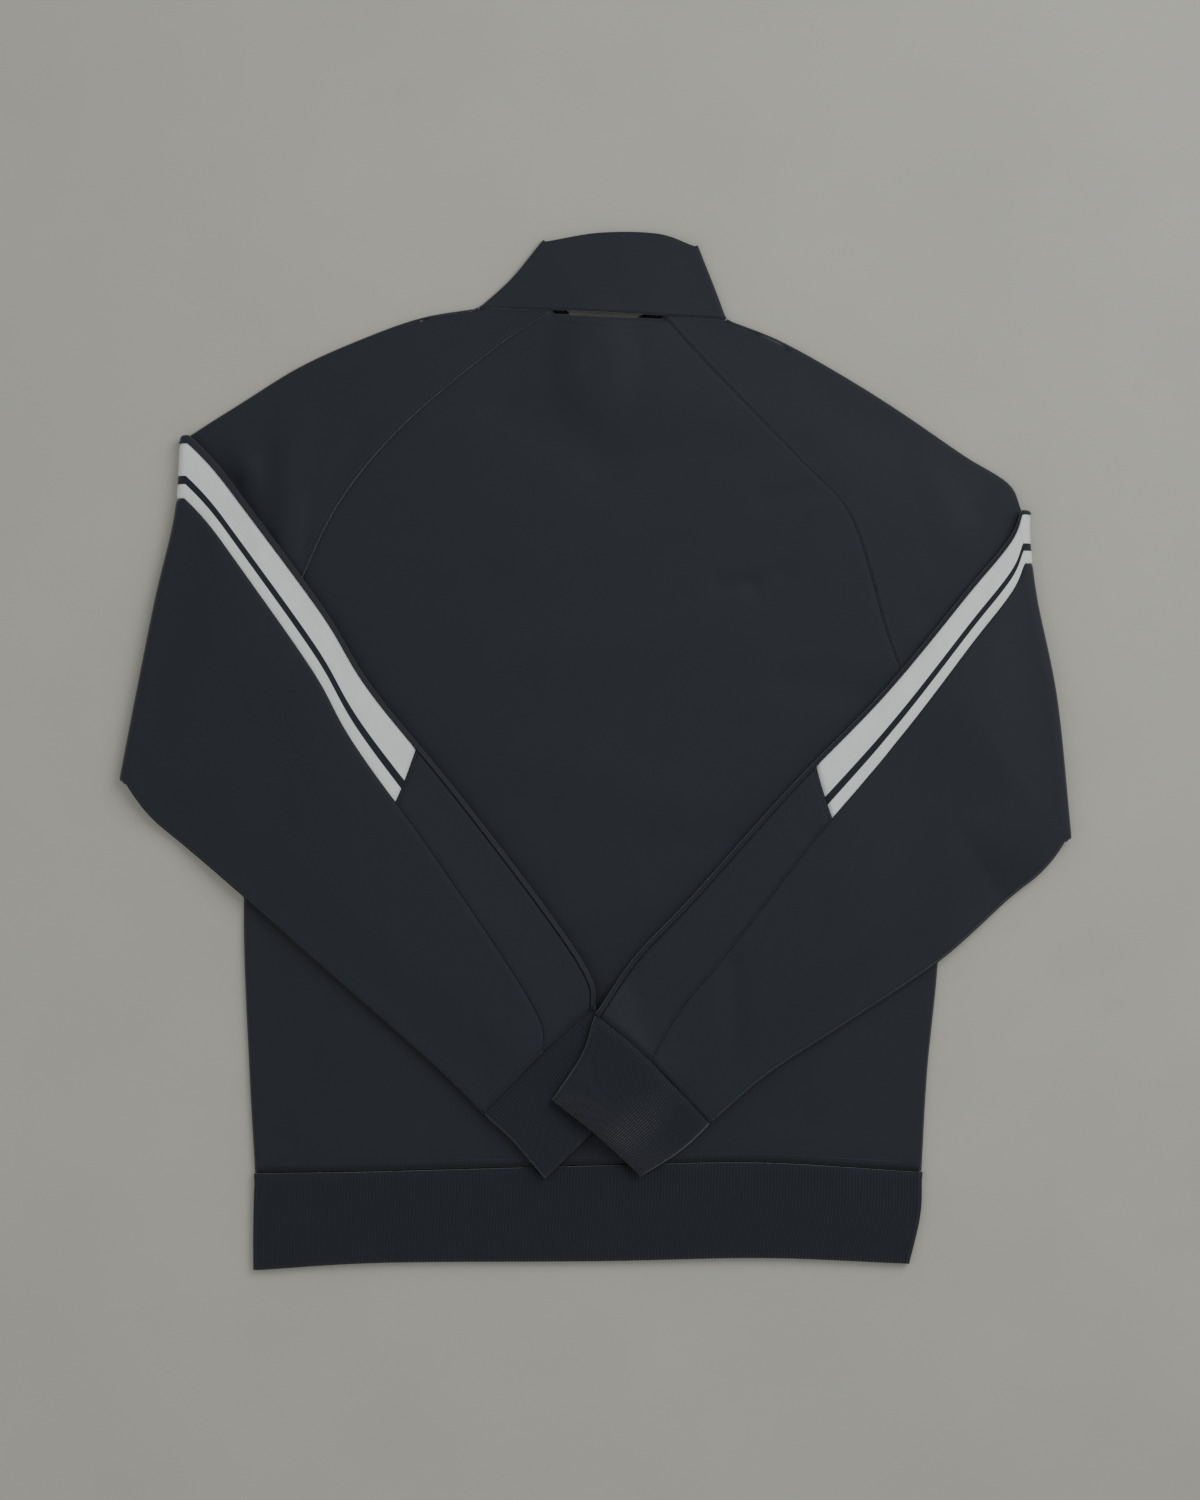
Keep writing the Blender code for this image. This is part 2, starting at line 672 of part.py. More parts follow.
def build_front(side, finishes, collection):
    """A front panel, turned up along its side."""
    edge, out, bend = side_edge(side, side.raglan_front)
    sign = 1 if side is RIGHT else -1
    hem_share = curve(HEM_SEAM, 2 * FRONT_COLUMNS)
    bottom = hem_share[FRONT_COLUMNS:] if side is RIGHT else hem_share[: FRONT_COLUMNS + 1][::-1]
    centre_x = sign * FRONT_EDGE
    bottom = fitted(bottom, np.array([centre_x, bottom[0, 1]]), edge[0])
    neck = curve(NECK_FRONT[side.name], FRONT_COLUMNS)[::-1]
    neck = fitted(neck, np.array([centre_x, FRONT_NECK_Y]), edge[-1])
    count = len(edge)
    centre = np.linspace(bottom[0], neck[0], count)
    plan = coons(bottom, neck, centre, edge)
    grid = lifted(plan, floor_height(plan))
    grid = rounded_edge(grid, out, bend, 1)
    gap = SEAM_GAP / 2
    sheet(f"front_{side.name}", trimmed(grid, (gap, gap, 0, SEAM_GAP)), WALL, finishes["knit"], collection)


def band_tube(bottom, top, left, right, left_out, right_out, heights):
    """A flattened band: rows from bottom to top, its walls at two heights."""
    plan = coons(bottom, top, left, right)
    return Tube(
        lifted(plan, heights[0](plan)), lifted(plan, heights[1](plan)), with_height(left_out),
        with_height(right_out),
    )


def build_hem(finishes, collection):
    """The hem band: the back above, both fronts below, open at the centre front."""
    sides = {name: curve(HEM_SIDE[name], RIB_ROWS) for name in HEM_SIDE}
    out_left = outward(sides["left"], -1)
    out_right = outward(sides["right"], 1)
    left = sides["left"] - out_left * EDGE
    right = sides["right"] - out_right * EDGE
    seam = fitted(curve(HEM_SEAM, BACK_COLUMNS), left[0], right[0])
    bottom = fitted(curve(HEM_BOTTOM, BACK_COLUMNS), left[-1], right[-1])
    tube = band_tube(seam, bottom, left, right, out_left, out_right, (floor_height, back_height))
    rows = np.ones(RIB_ROWS + 1)
    front_width = tube.width(tube.front)
    back_width = tube.width(tube.back)
    middle = np.array([distance_to_x(row, 0.0) for row in tube.front]) + QUARTER
    columns = spaced(middle - FRONT_EDGE, QUARTER * rows, FRONT_COLUMNS)
    columns += spaced(QUARTER * rows, -QUARTER * rows, 2 * ROUND_COLUMNS)[1:]
    columns += spaced(-QUARTER * rows, QUARTER - back_width, BACK_COLUMNS)[1:]
    columns += spaced(QUARTER - back_width, -back_width, ROUND_COLUMNS)[1:]
    columns += spaced(front_width, front_width - QUARTER, ROUND_COLUMNS)[1:]
    columns += spaced(front_width - QUARTER, middle + FRONT_EDGE, FRONT_COLUMNS)[1:]
    grid = grid_of(tube, columns)
    grid = np.concatenate([grid[..., :2], grid[..., 2:] + (RIB_WALL - WALL) / 2], axis=-1)
    sheet("hem_band", trimmed(grid, (SEAM_GAP, 0, 0, 0)), RIB_WALL, finishes["rib"], collection)


def distance_to_x(row, x):
    """Cloth in a row of points up to a given x."""
    along = np.concatenate([[0], np.cumsum(np.linalg.norm(np.diff(row, axis=0), axis=1))])
    return np.interp(x, row[:, 0], along)


def build_collar(finishes, collection):
    """The stand collar: its back above, its two front ends below, open at the centre front."""
    pieces = {}
    for side in (LEFT, RIGHT):
        turn = 1 if side is RIGHT else -1
        fold = curve(COLLAR_SIDE[side.name], COLLAR_ROWS)
        out = outward(fold, -turn)
        pieces[side.name] = (fold - out * EDGE, out)
    left, left_out = pieces["left"]
    right, right_out = pieces["right"]
    seam = chain(
        curve(LEFT.neck_back, NECK_COLUMNS), curve(NECK_BACK, BACK_COLUMNS),
        curve(RIGHT.neck_back, NECK_COLUMNS)[::-1],
    )
    seam[0] = left[0]
    seam[-1] = right[0]
    top = fitted(curve(COLLAR_TOP, len(seam) - 1), left[-1], right[-1])
    plan = coons(seam, top, left, right)
    back = lifted(plan, back_height(plan))
    fronts = {}
    for side, fold in ((LEFT, left), (RIGHT, right)):
        low = chain(curve(side.neck_front, NECK_COLUMNS), curve(NECK_FRONT[side.name], FRONT_COLUMNS))
        low[0] = fold[0]
        high = curve(COLLAR_FRONT_TOP[side.name], len(low) - 1)
        high[0] = fold[-1]
        centre = np.linspace(low[-1], high[-1], COLLAR_ROWS + 1)
        flat = coons(low, high, fold, centre)
        fronts[side.name] = lifted(flat, floor_height(flat))
    turns = {
        "left": edge_turn(fronts["left"][:, 0], back[:, 0], left_out),
        "right": edge_turn(back[:, -1], fronts["right"][:, 0], right_out),
    }
    grid = np.concatenate(
        [fronts["left"][:, ::-1], turns["left"], back, turns["right"], fronts["right"]], axis=1
    )
    sheet("collar", trimmed(grid, (SEAM_GAP, 0, 0, 0)), WALL, finishes["knit"], collection)


def edge_turn(start, end, out):
    """Columns of a half round between two edges that lie over each other."""
    middle = (start + end) / 2
    half = (start - end) / 2
    size = np.linalg.norm(half, axis=1)[:, None]
    out = with_height(out)
    count = 2 * ROUND_COLUMNS
    turned = []
    for step in range(1, count):
        angle = math.pi * step / count
        turned.append(middle + half * math.cos(angle) + out * size * math.sin(angle))
    return np.stack(turned, axis=1)


# Zip


def build_zip(finishes, collection):
    """Two tapes, the closed teeth between them and the slider."""
    hem_y = HEM_BOTTOM[2].y
    rows = np.linspace(hem_y + 1, COLLAR_FRONT_TOP_Y - 1, 40)
    for name, sign in (("left", -1), ("right", 1)):
        across = np.linspace(TAPE_INNER, TAPE_OUTER, 3) * sign
        plan = np.stack(np.meshgrid(across, rows), axis=-1)
        height = floor_height(plan) + (RIB_WALL + TAPE_WALL) / 2 + SEAM_GAP + RIB_WALL - WALL
        sheet(f"zip_tape_{name}", lifted(plan, height), TAPE_WALL, finishes["knit"], collection)
    teeth_rows = np.linspace(hem_y + 1, SLIDER_Y - 5.5, 36)
    plan = np.stack(np.meshgrid(np.array([-TEETH_HALF, TEETH_HALF]), teeth_rows), axis=-1)
    height = floor_height(plan) + (TEETH_WALL - WALL) / 2
    sheet("zip_teeth", lifted(plan, height), TEETH_WALL, finishes["teeth"], collection)
    build_slider(finishes, collection)


def build_slider(finishes, collection):
    """A slider body with the arch that a pull tab hangs on."""
    bm = bmesh.new()
    block(bm, (-4.2, SLIDER_Y - 5, 2.7), (4.2, SLIDER_Y + 5, 4.3))
    body = add_object("zip_slider", bm, finishes["slider"], collection)
    bm = bmesh.new()
    block(bm, (-0.8, SLIDER_Y - 3.6, 0.2), (0.8, SLIDER_Y + 3.6, 3.2))
    arch = add_object("slider_arch", bm, finishes["slider"], bpy.data.collections["cutters"])
    bm = bmesh.new()
    block(bm, (-2.0, SLIDER_Y - 2.6, 0.75), (2.0, SLIDER_Y + 2.6, 2.7))
    window = add_object("slider_window", bm, finishes["slider"], bpy.data.collections["cutters"])
    boolean(body, arch, "UNION")
    boolean(body, window, "DIFFERENCE")


def boolean(obj, cutter, operation):
    """An exact Boolean with a hidden cutter."""
    cutter.hide_render = True
    cutter.display_type = "WIRE"
    cut = obj.modifiers.new(operation.title(), "BOOLEAN")
    cut.operation = operation
    cut.solver = "EXACT"
    cut.object = cutter


def main():
    """Clear the scene and build the jacket."""
    for obj in list(bpy.data.objects):
        bpy.data.objects.remove(obj)
    scene = bpy.context.scene
    garment = bpy.data.collections.new("track_jacket")
    cutters = bpy.data.collections.new("cutters")
    scene.collection.children.link(garment)
    scene.collection.children.link(cutters)
    finishes = {
        "knit": material("navy_knit", NAVY, 0.75),
        "rib": material("navy_rib", NAVY, 0.85),
        "tape": material("white_tape", WHITE, 0.8),
        "teeth": material("zip_teeth", NAVY, 0.4),
        "slider": material("zip_metal", NAVY_METAL, 0.35, 1.0),
    }
    build_back(finishes, garment)
    for side in (LEFT, RIGHT):
        build_front(side, finishes, garment)
        build_sleeve(side, finishes, garment)
    build_hem(finishes, garment)
    build_collar(finishes, garment)
    build_zip(finishes, garment)


main()
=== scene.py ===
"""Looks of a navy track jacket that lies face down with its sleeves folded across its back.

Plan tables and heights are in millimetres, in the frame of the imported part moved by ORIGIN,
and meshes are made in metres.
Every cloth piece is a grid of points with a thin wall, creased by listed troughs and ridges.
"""

import json
import logging
import math
from dataclasses import dataclass, field
from enum import Enum
from typing import NamedTuple, Sequence

import bmesh
import bpy
import numpy as np
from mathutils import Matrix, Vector

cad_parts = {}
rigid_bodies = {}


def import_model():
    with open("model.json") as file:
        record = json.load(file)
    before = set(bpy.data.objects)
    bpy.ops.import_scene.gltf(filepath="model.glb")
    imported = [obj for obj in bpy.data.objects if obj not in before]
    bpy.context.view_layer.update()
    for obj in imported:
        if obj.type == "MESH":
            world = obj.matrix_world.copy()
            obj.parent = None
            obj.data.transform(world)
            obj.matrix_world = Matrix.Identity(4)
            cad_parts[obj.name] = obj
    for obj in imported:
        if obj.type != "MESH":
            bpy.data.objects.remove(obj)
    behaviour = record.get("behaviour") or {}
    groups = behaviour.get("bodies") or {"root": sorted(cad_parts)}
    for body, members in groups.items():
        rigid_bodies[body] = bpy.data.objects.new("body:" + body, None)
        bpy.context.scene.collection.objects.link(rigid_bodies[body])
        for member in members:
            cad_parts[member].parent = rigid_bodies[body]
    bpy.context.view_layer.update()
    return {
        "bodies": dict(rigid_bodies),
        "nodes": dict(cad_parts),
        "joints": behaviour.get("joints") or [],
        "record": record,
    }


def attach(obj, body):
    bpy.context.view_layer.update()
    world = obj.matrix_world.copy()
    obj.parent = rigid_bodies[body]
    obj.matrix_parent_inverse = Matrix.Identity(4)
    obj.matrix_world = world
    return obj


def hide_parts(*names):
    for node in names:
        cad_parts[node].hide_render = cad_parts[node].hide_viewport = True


LOG = logging.getLogger("track_jacket")
MM = 0.001
ORIGIN = np.array([1.09, 0.11, 0.0])  # middle of the outline in the plan tables

WALL = 1.2
RIB_WALL = 1.6
PLY = 2.0
FOLD = 3.6
SEAM_GAP = 0.36
EDGE = PLY + WALL / 2
QUARTER = math.pi * PLY / 2
FRONT_EDGE = 5.5
FRONT_NECK_Y = 236.0
COLLAR_FRONT_TOP_Y = 292.0
SLIDER_Y = 282.5
SLIDER_REACH = (30.0, 44.0)
SLIDER_BELOW = 12  # from the slider's top to its middle
SLIDER_SLOPE = (1.35, 1.1)

RIB_PITCH = 2.2
RIB_SAMPLES = 4  # columns of points to a rib
RIB_DEPTH = 0.34
SEAM_DIP = 0.55  # how far a seamed edge sinks
SEAM_DIP_WIDTH = 1.8
TOPSTITCH = 6.5  # stitch lines' distances from their seams
RAGLAN_TOPSTITCH = 6.0
HEM_TOPSTITCH = 5.6
TAPE_END_STITCH = 2.0
EDGE_STITCH = 1.6
STITCH_LENGTH = 2.4
STITCH_PITCH = 3.2
THREAD_RADIUS = 0.24
THREAD_LIFT = 0.05
LEAST_AREA = 0.31  # least share of its flat rectangle that a sheet's area is stated as

SIDE_ROWS = 60
RAGLAN_ROWS = 72
NECK_COLUMNS = 10
BACK_COLUMNS = 110
FRONT_COLUMNS = 40
LOWER_ROWS = 54
FOLD_ROWS = 14
UPPER_ROWS = 100
ROUND_COLUMNS = 5
RIB_ROWS = 10
COLLAR_ROWS = 18
TAPE_COLUMNS = 30

Grid = np.ndarray


class Point(NamedTuple):
    """A plan point."""

    x: float
    y: float


class Crease(NamedTuple):
    """A trough (negative depth) or ridge along a line."""

    x0: float
    y0: float
    x1: float
    y1: float
    width: float
    depth: float


class Seam(NamedTuple):
    """Distances of a tape's two seams from the sleeve's top edge, at a share of its length."""

    at: float
    upper: float
    lower: float


class Side(NamedTuple):
    """Plan lines of one side of the jacket; tape_share is how much of the folded half is tape."""

    name: str
    shoulder: list
    fold: list
    under_lower: list
    inner_edge: list
    under_edge: list
    cuff_seam: list
    cuff_inner: list
    cuff_outer: list
    cuff_end: list
    raglan_back: list
    raglan_front: list
    neck_back: list
    neck_front: list
    side: list
    seams: list
    tape_share: float


def points(*pairs: tuple) -> list:
    """A table of outline points, one row each."""
    return [Point(*pair) for pair in pairs]


LEFT = Side(
    name="left",
    shoulder=points((-81, 311), (-122, 305), (-164, 291), (-206, 273), (-248, 248), (-283, 227)),
    fold=points((-290, 221), (-294, 167), (-308, 106), (-322, 36), (-333, -21)),
    under_lower=points((-244, 9), (-290, -12), (-329, -27)),
    inner_edge=points(
        (-283, 227), (-254, 189), (-189, 100), (-155, 45), (-95, -29), (-31, -113), (-2, -158),
        (1, -181),
    ),
    under_edge=points(
        (-329, -29), (-304, -52), (-262, -87), (-206, -136), (-116, -215), (-77, -253)
    ),
    cuff_seam=points((1, -181), (-32, -208), (-77, -253)),
    cuff_inner=points((1, -181), (14, -204), (32, -234)),
    cuff_outer=points((-77, -253), (-57, -271), (-34, -298)),
    cuff_end=points((32, -234), (-2, -267), (-34, -298)),
    raglan_back=points(
        (-29, 309), (-68, 284), (-132, 230), (-176, 178), (-204, 122), (-228, 60), (-244, 9)
    ),
    raglan_front=points((-64, 275), (-110, 225), (-170, 150), (-215, 75), (-244, 9)),
    neck_back=points((-81, 311), (-55, 310), (-29, 309)),
    neck_front=points((-81, 311), (-73, 293), (-64, 275)),
    side=points((-238, -296), (-242, -225), (-246, -120), (-244, 9)),
    seams=[
        Seam(0.0, 6.0, 41.0), Seam(0.35, 7.0, 46.0), Seam(0.62, 4.0, 42.0), Seam(1.0, 4.0, 48.0)
    ],
    tape_share=0.545,
)
RIGHT = Side(
    name="right",
    shoulder=points(
        (93, 303), (130, 291), (172, 271), (214, 248), (260, 220), (291, 203), (302, 184)
    ),
    fold=points((306, 168), (306, 147), (311, 106), (325, 36), (335, -62)),
    under_lower=points((244, -36), (290, -58), (331, -72)),
    inner_edge=points(
        (302, 180), (290, 149), (260, 112), (202, 42), (137, -25), (66, -104), (29, -143), (1, -183)
    ),
    under_edge=points((331, -74), (298, -97), (241, -147), (176, -190), (122, -225), (81, -260)),
    cuff_seam=points((1, -183), (38, -214), (81, -260)),
    cuff_inner=points((1, -183), (-8, -211), (-29, -243)),
    cuff_outer=points((81, -260), (60, -279), (32, -297)),
    cuff_end=points((-29, -243), (2, -268), (32, -297)),
    raglan_back=points(
        (49, 305), (84, 267), (145, 204), (181, 163), (207, 79), (230, 20), (244, -36)
    ),
    raglan_front=points((74, 266), (115, 215), (175, 135), (218, 50), (244, -36)),
    neck_back=points((93, 303), (71, 304), (49, 305)),
    neck_front=points((93, 303), (83, 284), (74, 266)),
    side=points((230, -295), (234, -225), (242, -140), (244, -36)),
    seams=[
        Seam(0.0, 3.6, 38.0), Seam(0.35, 3.6, 38.0), Seam(0.62, 3.6, 39.0), Seam(1.0, 4.0, 51.0)
    ],
    tape_share=0.505,
)
NECK_BACK = points((-29, 309), (10, 307), (49, 305))
NECK_FRONT = {
    "left": points((-64, 275), (-36, 246), (-FRONT_EDGE, FRONT_NECK_Y)),
    "right": points((74, 266), (40, 244), (FRONT_EDGE, FRONT_NECK_Y)),
}
COLLAR_TOP = points((-36, 359), (4, 365), (46, 364), (73, 355))
COLLAR_FRONT_TOP = {
    "left": points((-36, 359), (-24, 318), (-FRONT_EDGE, COLLAR_FRONT_TOP_Y)),
    "right": points((73, 355), (44, 314), (FRONT_EDGE, COLLAR_FRONT_TOP_Y)),
}
COLLAR_SIDE = {
    "left": points((-81, 311), (-58, 332), (-36, 359)),
    "right": points((93, 303), (86, 322), (73, 355)),
}
HEM_SEAM = points((-238, -296), (-150, -294), (4, -290), (120, -288), (230, -295))
HEM_BOTTOM = points((-239, -364), (-150, -359), (4, -358), (120, -356), (221, -360))
HEM_SIDE = {
    "left": points((-238, -296), (-239, -330), (-239, -364)),
    "right": points((230, -295), (229, -325), (221, -360)),
}
CREASES = [
    Crease(-60, 239, 5, 205, 20, -1.3),
    Crease(5, 205, 136, 214, 18, -1.4),
    Crease(121, 176, 161, 184, 8, -0.8),
    Crease(88, 116, 112, 117, 4.5, -1.7),
    Crease(112, 117, 134, 126, 6, -1.2),
    Crease(-48, 130, 8, 158, 20, 0.9),
    Crease(-70, 64, 97, 88, 22, 1.1),
    Crease(-55, -2, 57, -38, 24, 1.0),
    Crease(43, -66, 92, -60, 12, -0.8),
    Crease(136, 47, 185, 42, 12, -0.9),
    Crease(-20, -118, 30, -104, 14, 0.6),
    Crease(-284, 224, -252, 188, 6, -2.4),
    Crease(-272, 232, -240, 168, 8, -2.2),
    Crease(-262, 238, -246, 200, 9, 1.6),
    Crease(-228, 208, -228, 150, 8, -1.6),
    Crease(-212, 255, -215, 138, 13, 1.5),
    Crease(-199, 181, -203, 136, 5, -0.8),
    Crease(-165, 220, -189, 172, 9, -0.8),
    Crease(168, 247, 222, 222, 14, -1.4),
    Crease(286, 197, 270, 168, 8, -1.6),
    Crease(291, 185, 234, 96, 10, -1.5),
    Crease(236, 210, 252, 150, 14, 1.2),
    Crease(-180, -280, -90, -272, 16, 0.7),
    Crease(120, -276, 205, -282, 14, 0.6),
    Crease(-82, -343, -8, -339, 14, 0.7),
]
UPPER_CREASES = {
    "left": [
        Crease(-77, -206, -86, -242, 9, -1.3),
        Crease(-250, 80, -190, -20, 26, 0.8),
        Crease(-300, 10, -255, -40, 20, -0.7),
        Crease(-52, -196, -66, -226, 8, 0.8),
        Crease(-39, -240, -37, -293, 6, -0.8),
    ],
    "right": [
        Crease(97, -150, 99, -229, 9, -1.7),
        Crease(250, -10, 190, -90, 26, 0.8),
        Crease(29, -186, 37, -202, 5, -0.9),
        Crease(48, -196, 62, -226, 9, 0.9),
        Crease(141, -47, 150, -60, 6, -0.6),
        Crease(305, 60, 300, -20, 20, -0.7),
    ],
}
LOFT = 4.0
LOFT_RAMP = 75.0
PUFF = 2.4
PUFF_RAMP = 45.0
CUFF_PUFF = 0.4  # how much of the puff a cuff has
SAG = 5.0
SAG_RAMP = 55.0
CROSSING = 6.8
CROSSING_RAMP = 34.0
SLIDER_RISE = 3.3


class Held(Enum):
    """How a sheet of cloth is held."""

    LAID = "laid"
    FOLDED = "folded"


def curve(table: Sequence[Point], count: int) -> Grid:
    """Sample a smooth curve through a table.

    Args:
        table: rows of the curve.
        count: number of equal steps.

    Returns:
        count + 1 plan points.
    """
    rows = np.array([tuple(row) for row in table], float)
    ends = np.vstack([2 * rows[0] - rows[1], rows, 2 * rows[-1] - rows[-2]])
    steps = np.linspace(0, 1, 24, endpoint=False)[:, None]
    fine = [
        0.5 * (2 * b + (c - a) * steps + (2 * a - 5 * b + 4 * c - d) * steps**2
               + (3 * b - a - 3 * c + d) * steps**3)
        for a, b, c, d in zip(ends, ends[1:], ends[2:], ends[3:])
    ]
    return resample(np.vstack([*fine, rows[-1:]]), count)


def lengths(line: Grid) -> Grid:
    """Distance along a polyline at each of its points."""
    return np.concatenate([[0], np.cumsum(np.linalg.norm(np.diff(line, axis=0), axis=1))])


def resample(line: Grid, count: int) -> Grid:
    """Equal steps along a polyline."""
    along = lengths(line)
    wanted = np.linspace(0, along[-1], count + 1)
    return np.stack([np.interp(wanted, along, line[:, k]) for k in range(line.shape[1])], axis=1)


def chain(*lines: Grid) -> Grid:
    """Several sampled lines joined end to end."""
    return np.vstack([lines[0]] + [line[1:] for line in lines[1:]])


def outward(line: Grid, turn: int) -> Grid:
    """Unit vectors square to a plan line, to its left (1) or right (-1)."""
    along = np.gradient(line, axis=0)
    along /= np.linalg.norm(along, axis=1)[:, None]
    return turn * np.stack([-along[:, 1], along[:, 0]], axis=1)


def drawn_in(table: Sequence[Point], count: int, turn: int) -> tuple:
    """A rounded edge's line, drawn in to where the cloth starts to turn.

    Args:
        table: the outline's rows.
        count: number of equal steps.
        turn: 1 or -1, the side that faces out, as in outward.

    Returns:
        The drawn-in line and its outward directions.
    """
    line = curve(table, count)
    out = outward(line, turn)
    return line - out * EDGE, out


def coons(start: Grid, end: Grid, first: Grid, last: Grid) -> Grid:
    """A patch between four sampled lines.

    Args:
        start: first row.
        end: last row.
        first: first column.
        last: last column.

    Returns:
        Rows from start to end, columns from first to last.
    """
    u = np.linspace(0, 1, len(first))[:, None, None]
    v = np.linspace(0, 1, len(start))[None, :, None]
    ruled = (1 - u) * start[None] + u * end[None] + (1 - v) * first[:, None] + v * last[:, None]
    near = (1 - v) * start[0] + v * start[-1]
    far = (1 - v) * end[0] + v * end[-1]
    return ruled - (1 - u) * near - u * far


def fitted(line: Grid, start: Grid, end: Grid) -> Grid:
    """A line moved so that it runs between two points."""
    share = np.linspace(0, 1, len(line))[:, None]
    return line + (1 - share) * (start - line[0]) + share * (end - line[-1])


def smooth(share: Grid) -> Grid:
    """0 to 1 with flat ends."""
    share = np.clip(share, 0, 1)
    return share * share * (3 - 2 * share)


def to_outline(place: Grid, outline: Grid) -> Grid:
    """Distance to a closed outline, positive inside it."""
    flat = place[..., :2].reshape(-1, 2)
    best = np.full(len(flat), np.inf)
    crossings = np.zeros(len(flat), int)
    for tail, head in zip(outline, np.roll(outline, -1, axis=0)):
        run = head - tail
        share = np.clip((flat - tail) @ run / max(run @ run, 1e-9), 0, 1)
        best = np.minimum(best, np.linalg.norm(flat - tail - share[:, None] * run, axis=1))
        if tail[1] != head[1]:
            at = tail[0] + (flat[:, 1] - tail[1]) * run[0] / run[1]
            crossings += ((tail[1] > flat[:, 1]) != (head[1] > flat[:, 1])) & (flat[:, 0] < at)
    return np.where(crossings % 2 == 1, best, -best).reshape(place.shape[:-1])


def creased(place: Grid, creases: Sequence[Crease]) -> Grid:
    """Sum of soft troughs and ridges that fade at their ends."""
    height = np.zeros(place.shape[:-1])
    for crease in creases:
        tail = np.array([crease.x0, crease.y0])
        run = np.array([crease.x1, crease.y1]) - tail
        reach = (place[..., :2] - tail) @ run / (run @ run)
        off = np.linalg.norm(place[..., :2] - tail - np.clip(reach, 0, 1)[..., None] * run, axis=-1)
        height += crease.depth * np.exp(-((off / crease.width) ** 2))
    return height


LOWER = np.vstack([
    curve(LEFT.shoulder, 12), curve(LEFT.fold, 12), curve(LEFT.under_lower, 4)[::-1],
    curve(LEFT.side, 8)[::-1], curve(HEM_SIDE["left"], 3), curve(HEM_BOTTOM, 10),
    curve(HEM_SIDE["right"], 3)[::-1], curve(RIGHT.side, 8), curve(RIGHT.under_lower, 4),
    curve(RIGHT.fold, 12)[::-1], curve(RIGHT.shoulder, 12)[::-1], curve(COLLAR_SIDE["right"], 3),
    curve(COLLAR_TOP, 6)[::-1], curve(COLLAR_SIDE["left"], 3)[::-1],
])
UPPER = {
    side.name: np.vstack([
        curve(side.inner_edge, 16), curve(side.cuff_inner, 3), curve(side.cuff_end, 4),
        curve(side.cuff_outer, 3)[::-1], curve(side.under_edge, 12)[::-1],
        curve(side.fold, 10)[::-1],
    ])
    for side in (LEFT, RIGHT)
}
LEFT_CUFF = np.vstack([
    curve(LEFT.cuff_seam, 4), curve(LEFT.cuff_outer, 3), curve(LEFT.cuff_end, 4)[::-1],
    curve(LEFT.cuff_inner, 3)[::-1],
])


def slider_rise(place: Grid) -> Grid:
    """Lift of the cloth over the zip slider."""
    across = place[..., 0] / SLIDER_REACH[0]
    along = (place[..., 1] - SLIDER_Y + SLIDER_BELOW) / SLIDER_REACH[1]
    flat, slope = SLIDER_SLOPE
    return SLIDER_RISE * smooth(flat - slope * np.hypot(across, along))


def floor_height(place: Grid) -> Grid:
    """Middle of the lowest wall."""
    return WALL / 2 + slider_rise(place)


def loft(place: Grid) -> Grid:
    """Rise of the lower layers above their flat edges."""
    return LOFT * smooth((to_outline(place, LOWER) - 2 * EDGE) / LOFT_RAMP)


def back_height(place: Grid) -> Grid:
    """Middle of the second wall, with its creases."""
    rise = loft(place)
    share = np.clip(2 * rise / LOFT, 0, 1)
    return WALL / 2 + 2 * PLY + rise + creased(place, CREASES) * share + slider_rise(place)


def folded_height(side: Side, place: Grid) -> Grid:
    """Middle of a folded sleeve's lower wall."""
    beside = smooth((-to_outline(place, LOWER) - 4) / SAG_RAMP)
    height = WALL / 2 + 2 * FOLD + loft(place) - SAG * beside
    if side is RIGHT:
        height = height + CROSSING * smooth(1 + to_outline(place, LEFT_CUFF) / CROSSING_RAMP)
    return height


def folded_puff(side: Side, place: Grid) -> Grid:
    """Rise of a folded sleeve's upper wall over its lower one."""
    share = smooth((to_outline(place, UPPER[side.name]) - 2 * EDGE) / PUFF_RAMP)
    return share * PUFF + np.sqrt(share) * creased(place, UPPER_CREASES[side.name])


def lifted(plan: Grid, heights: Grid) -> Grid:
    """Plan points with their heights."""
    return np.concatenate([plan, heights[..., None]], axis=-1)


def unit(vector: Grid) -> Grid:
    """A vector of length 1."""
    return vector / np.linalg.norm(vector)


def with_height(directions: Grid) -> Grid:
    """Level directions in space."""
    return np.concatenate([directions, np.zeros((len(directions), 1))], axis=1)


def eased(directions: Grid, target: Grid, end: int) -> Grid:
    """Directions that turn to a target at one end of the list."""
    directions = directions.copy()
    count = max(2, len(directions) // 8)
    for step in range(count):
        at = step if end == 0 else -1 - step
        share = 1 - step / count
        directions[at] = unit(directions[at] * (1 - share) + target * share)
    return directions


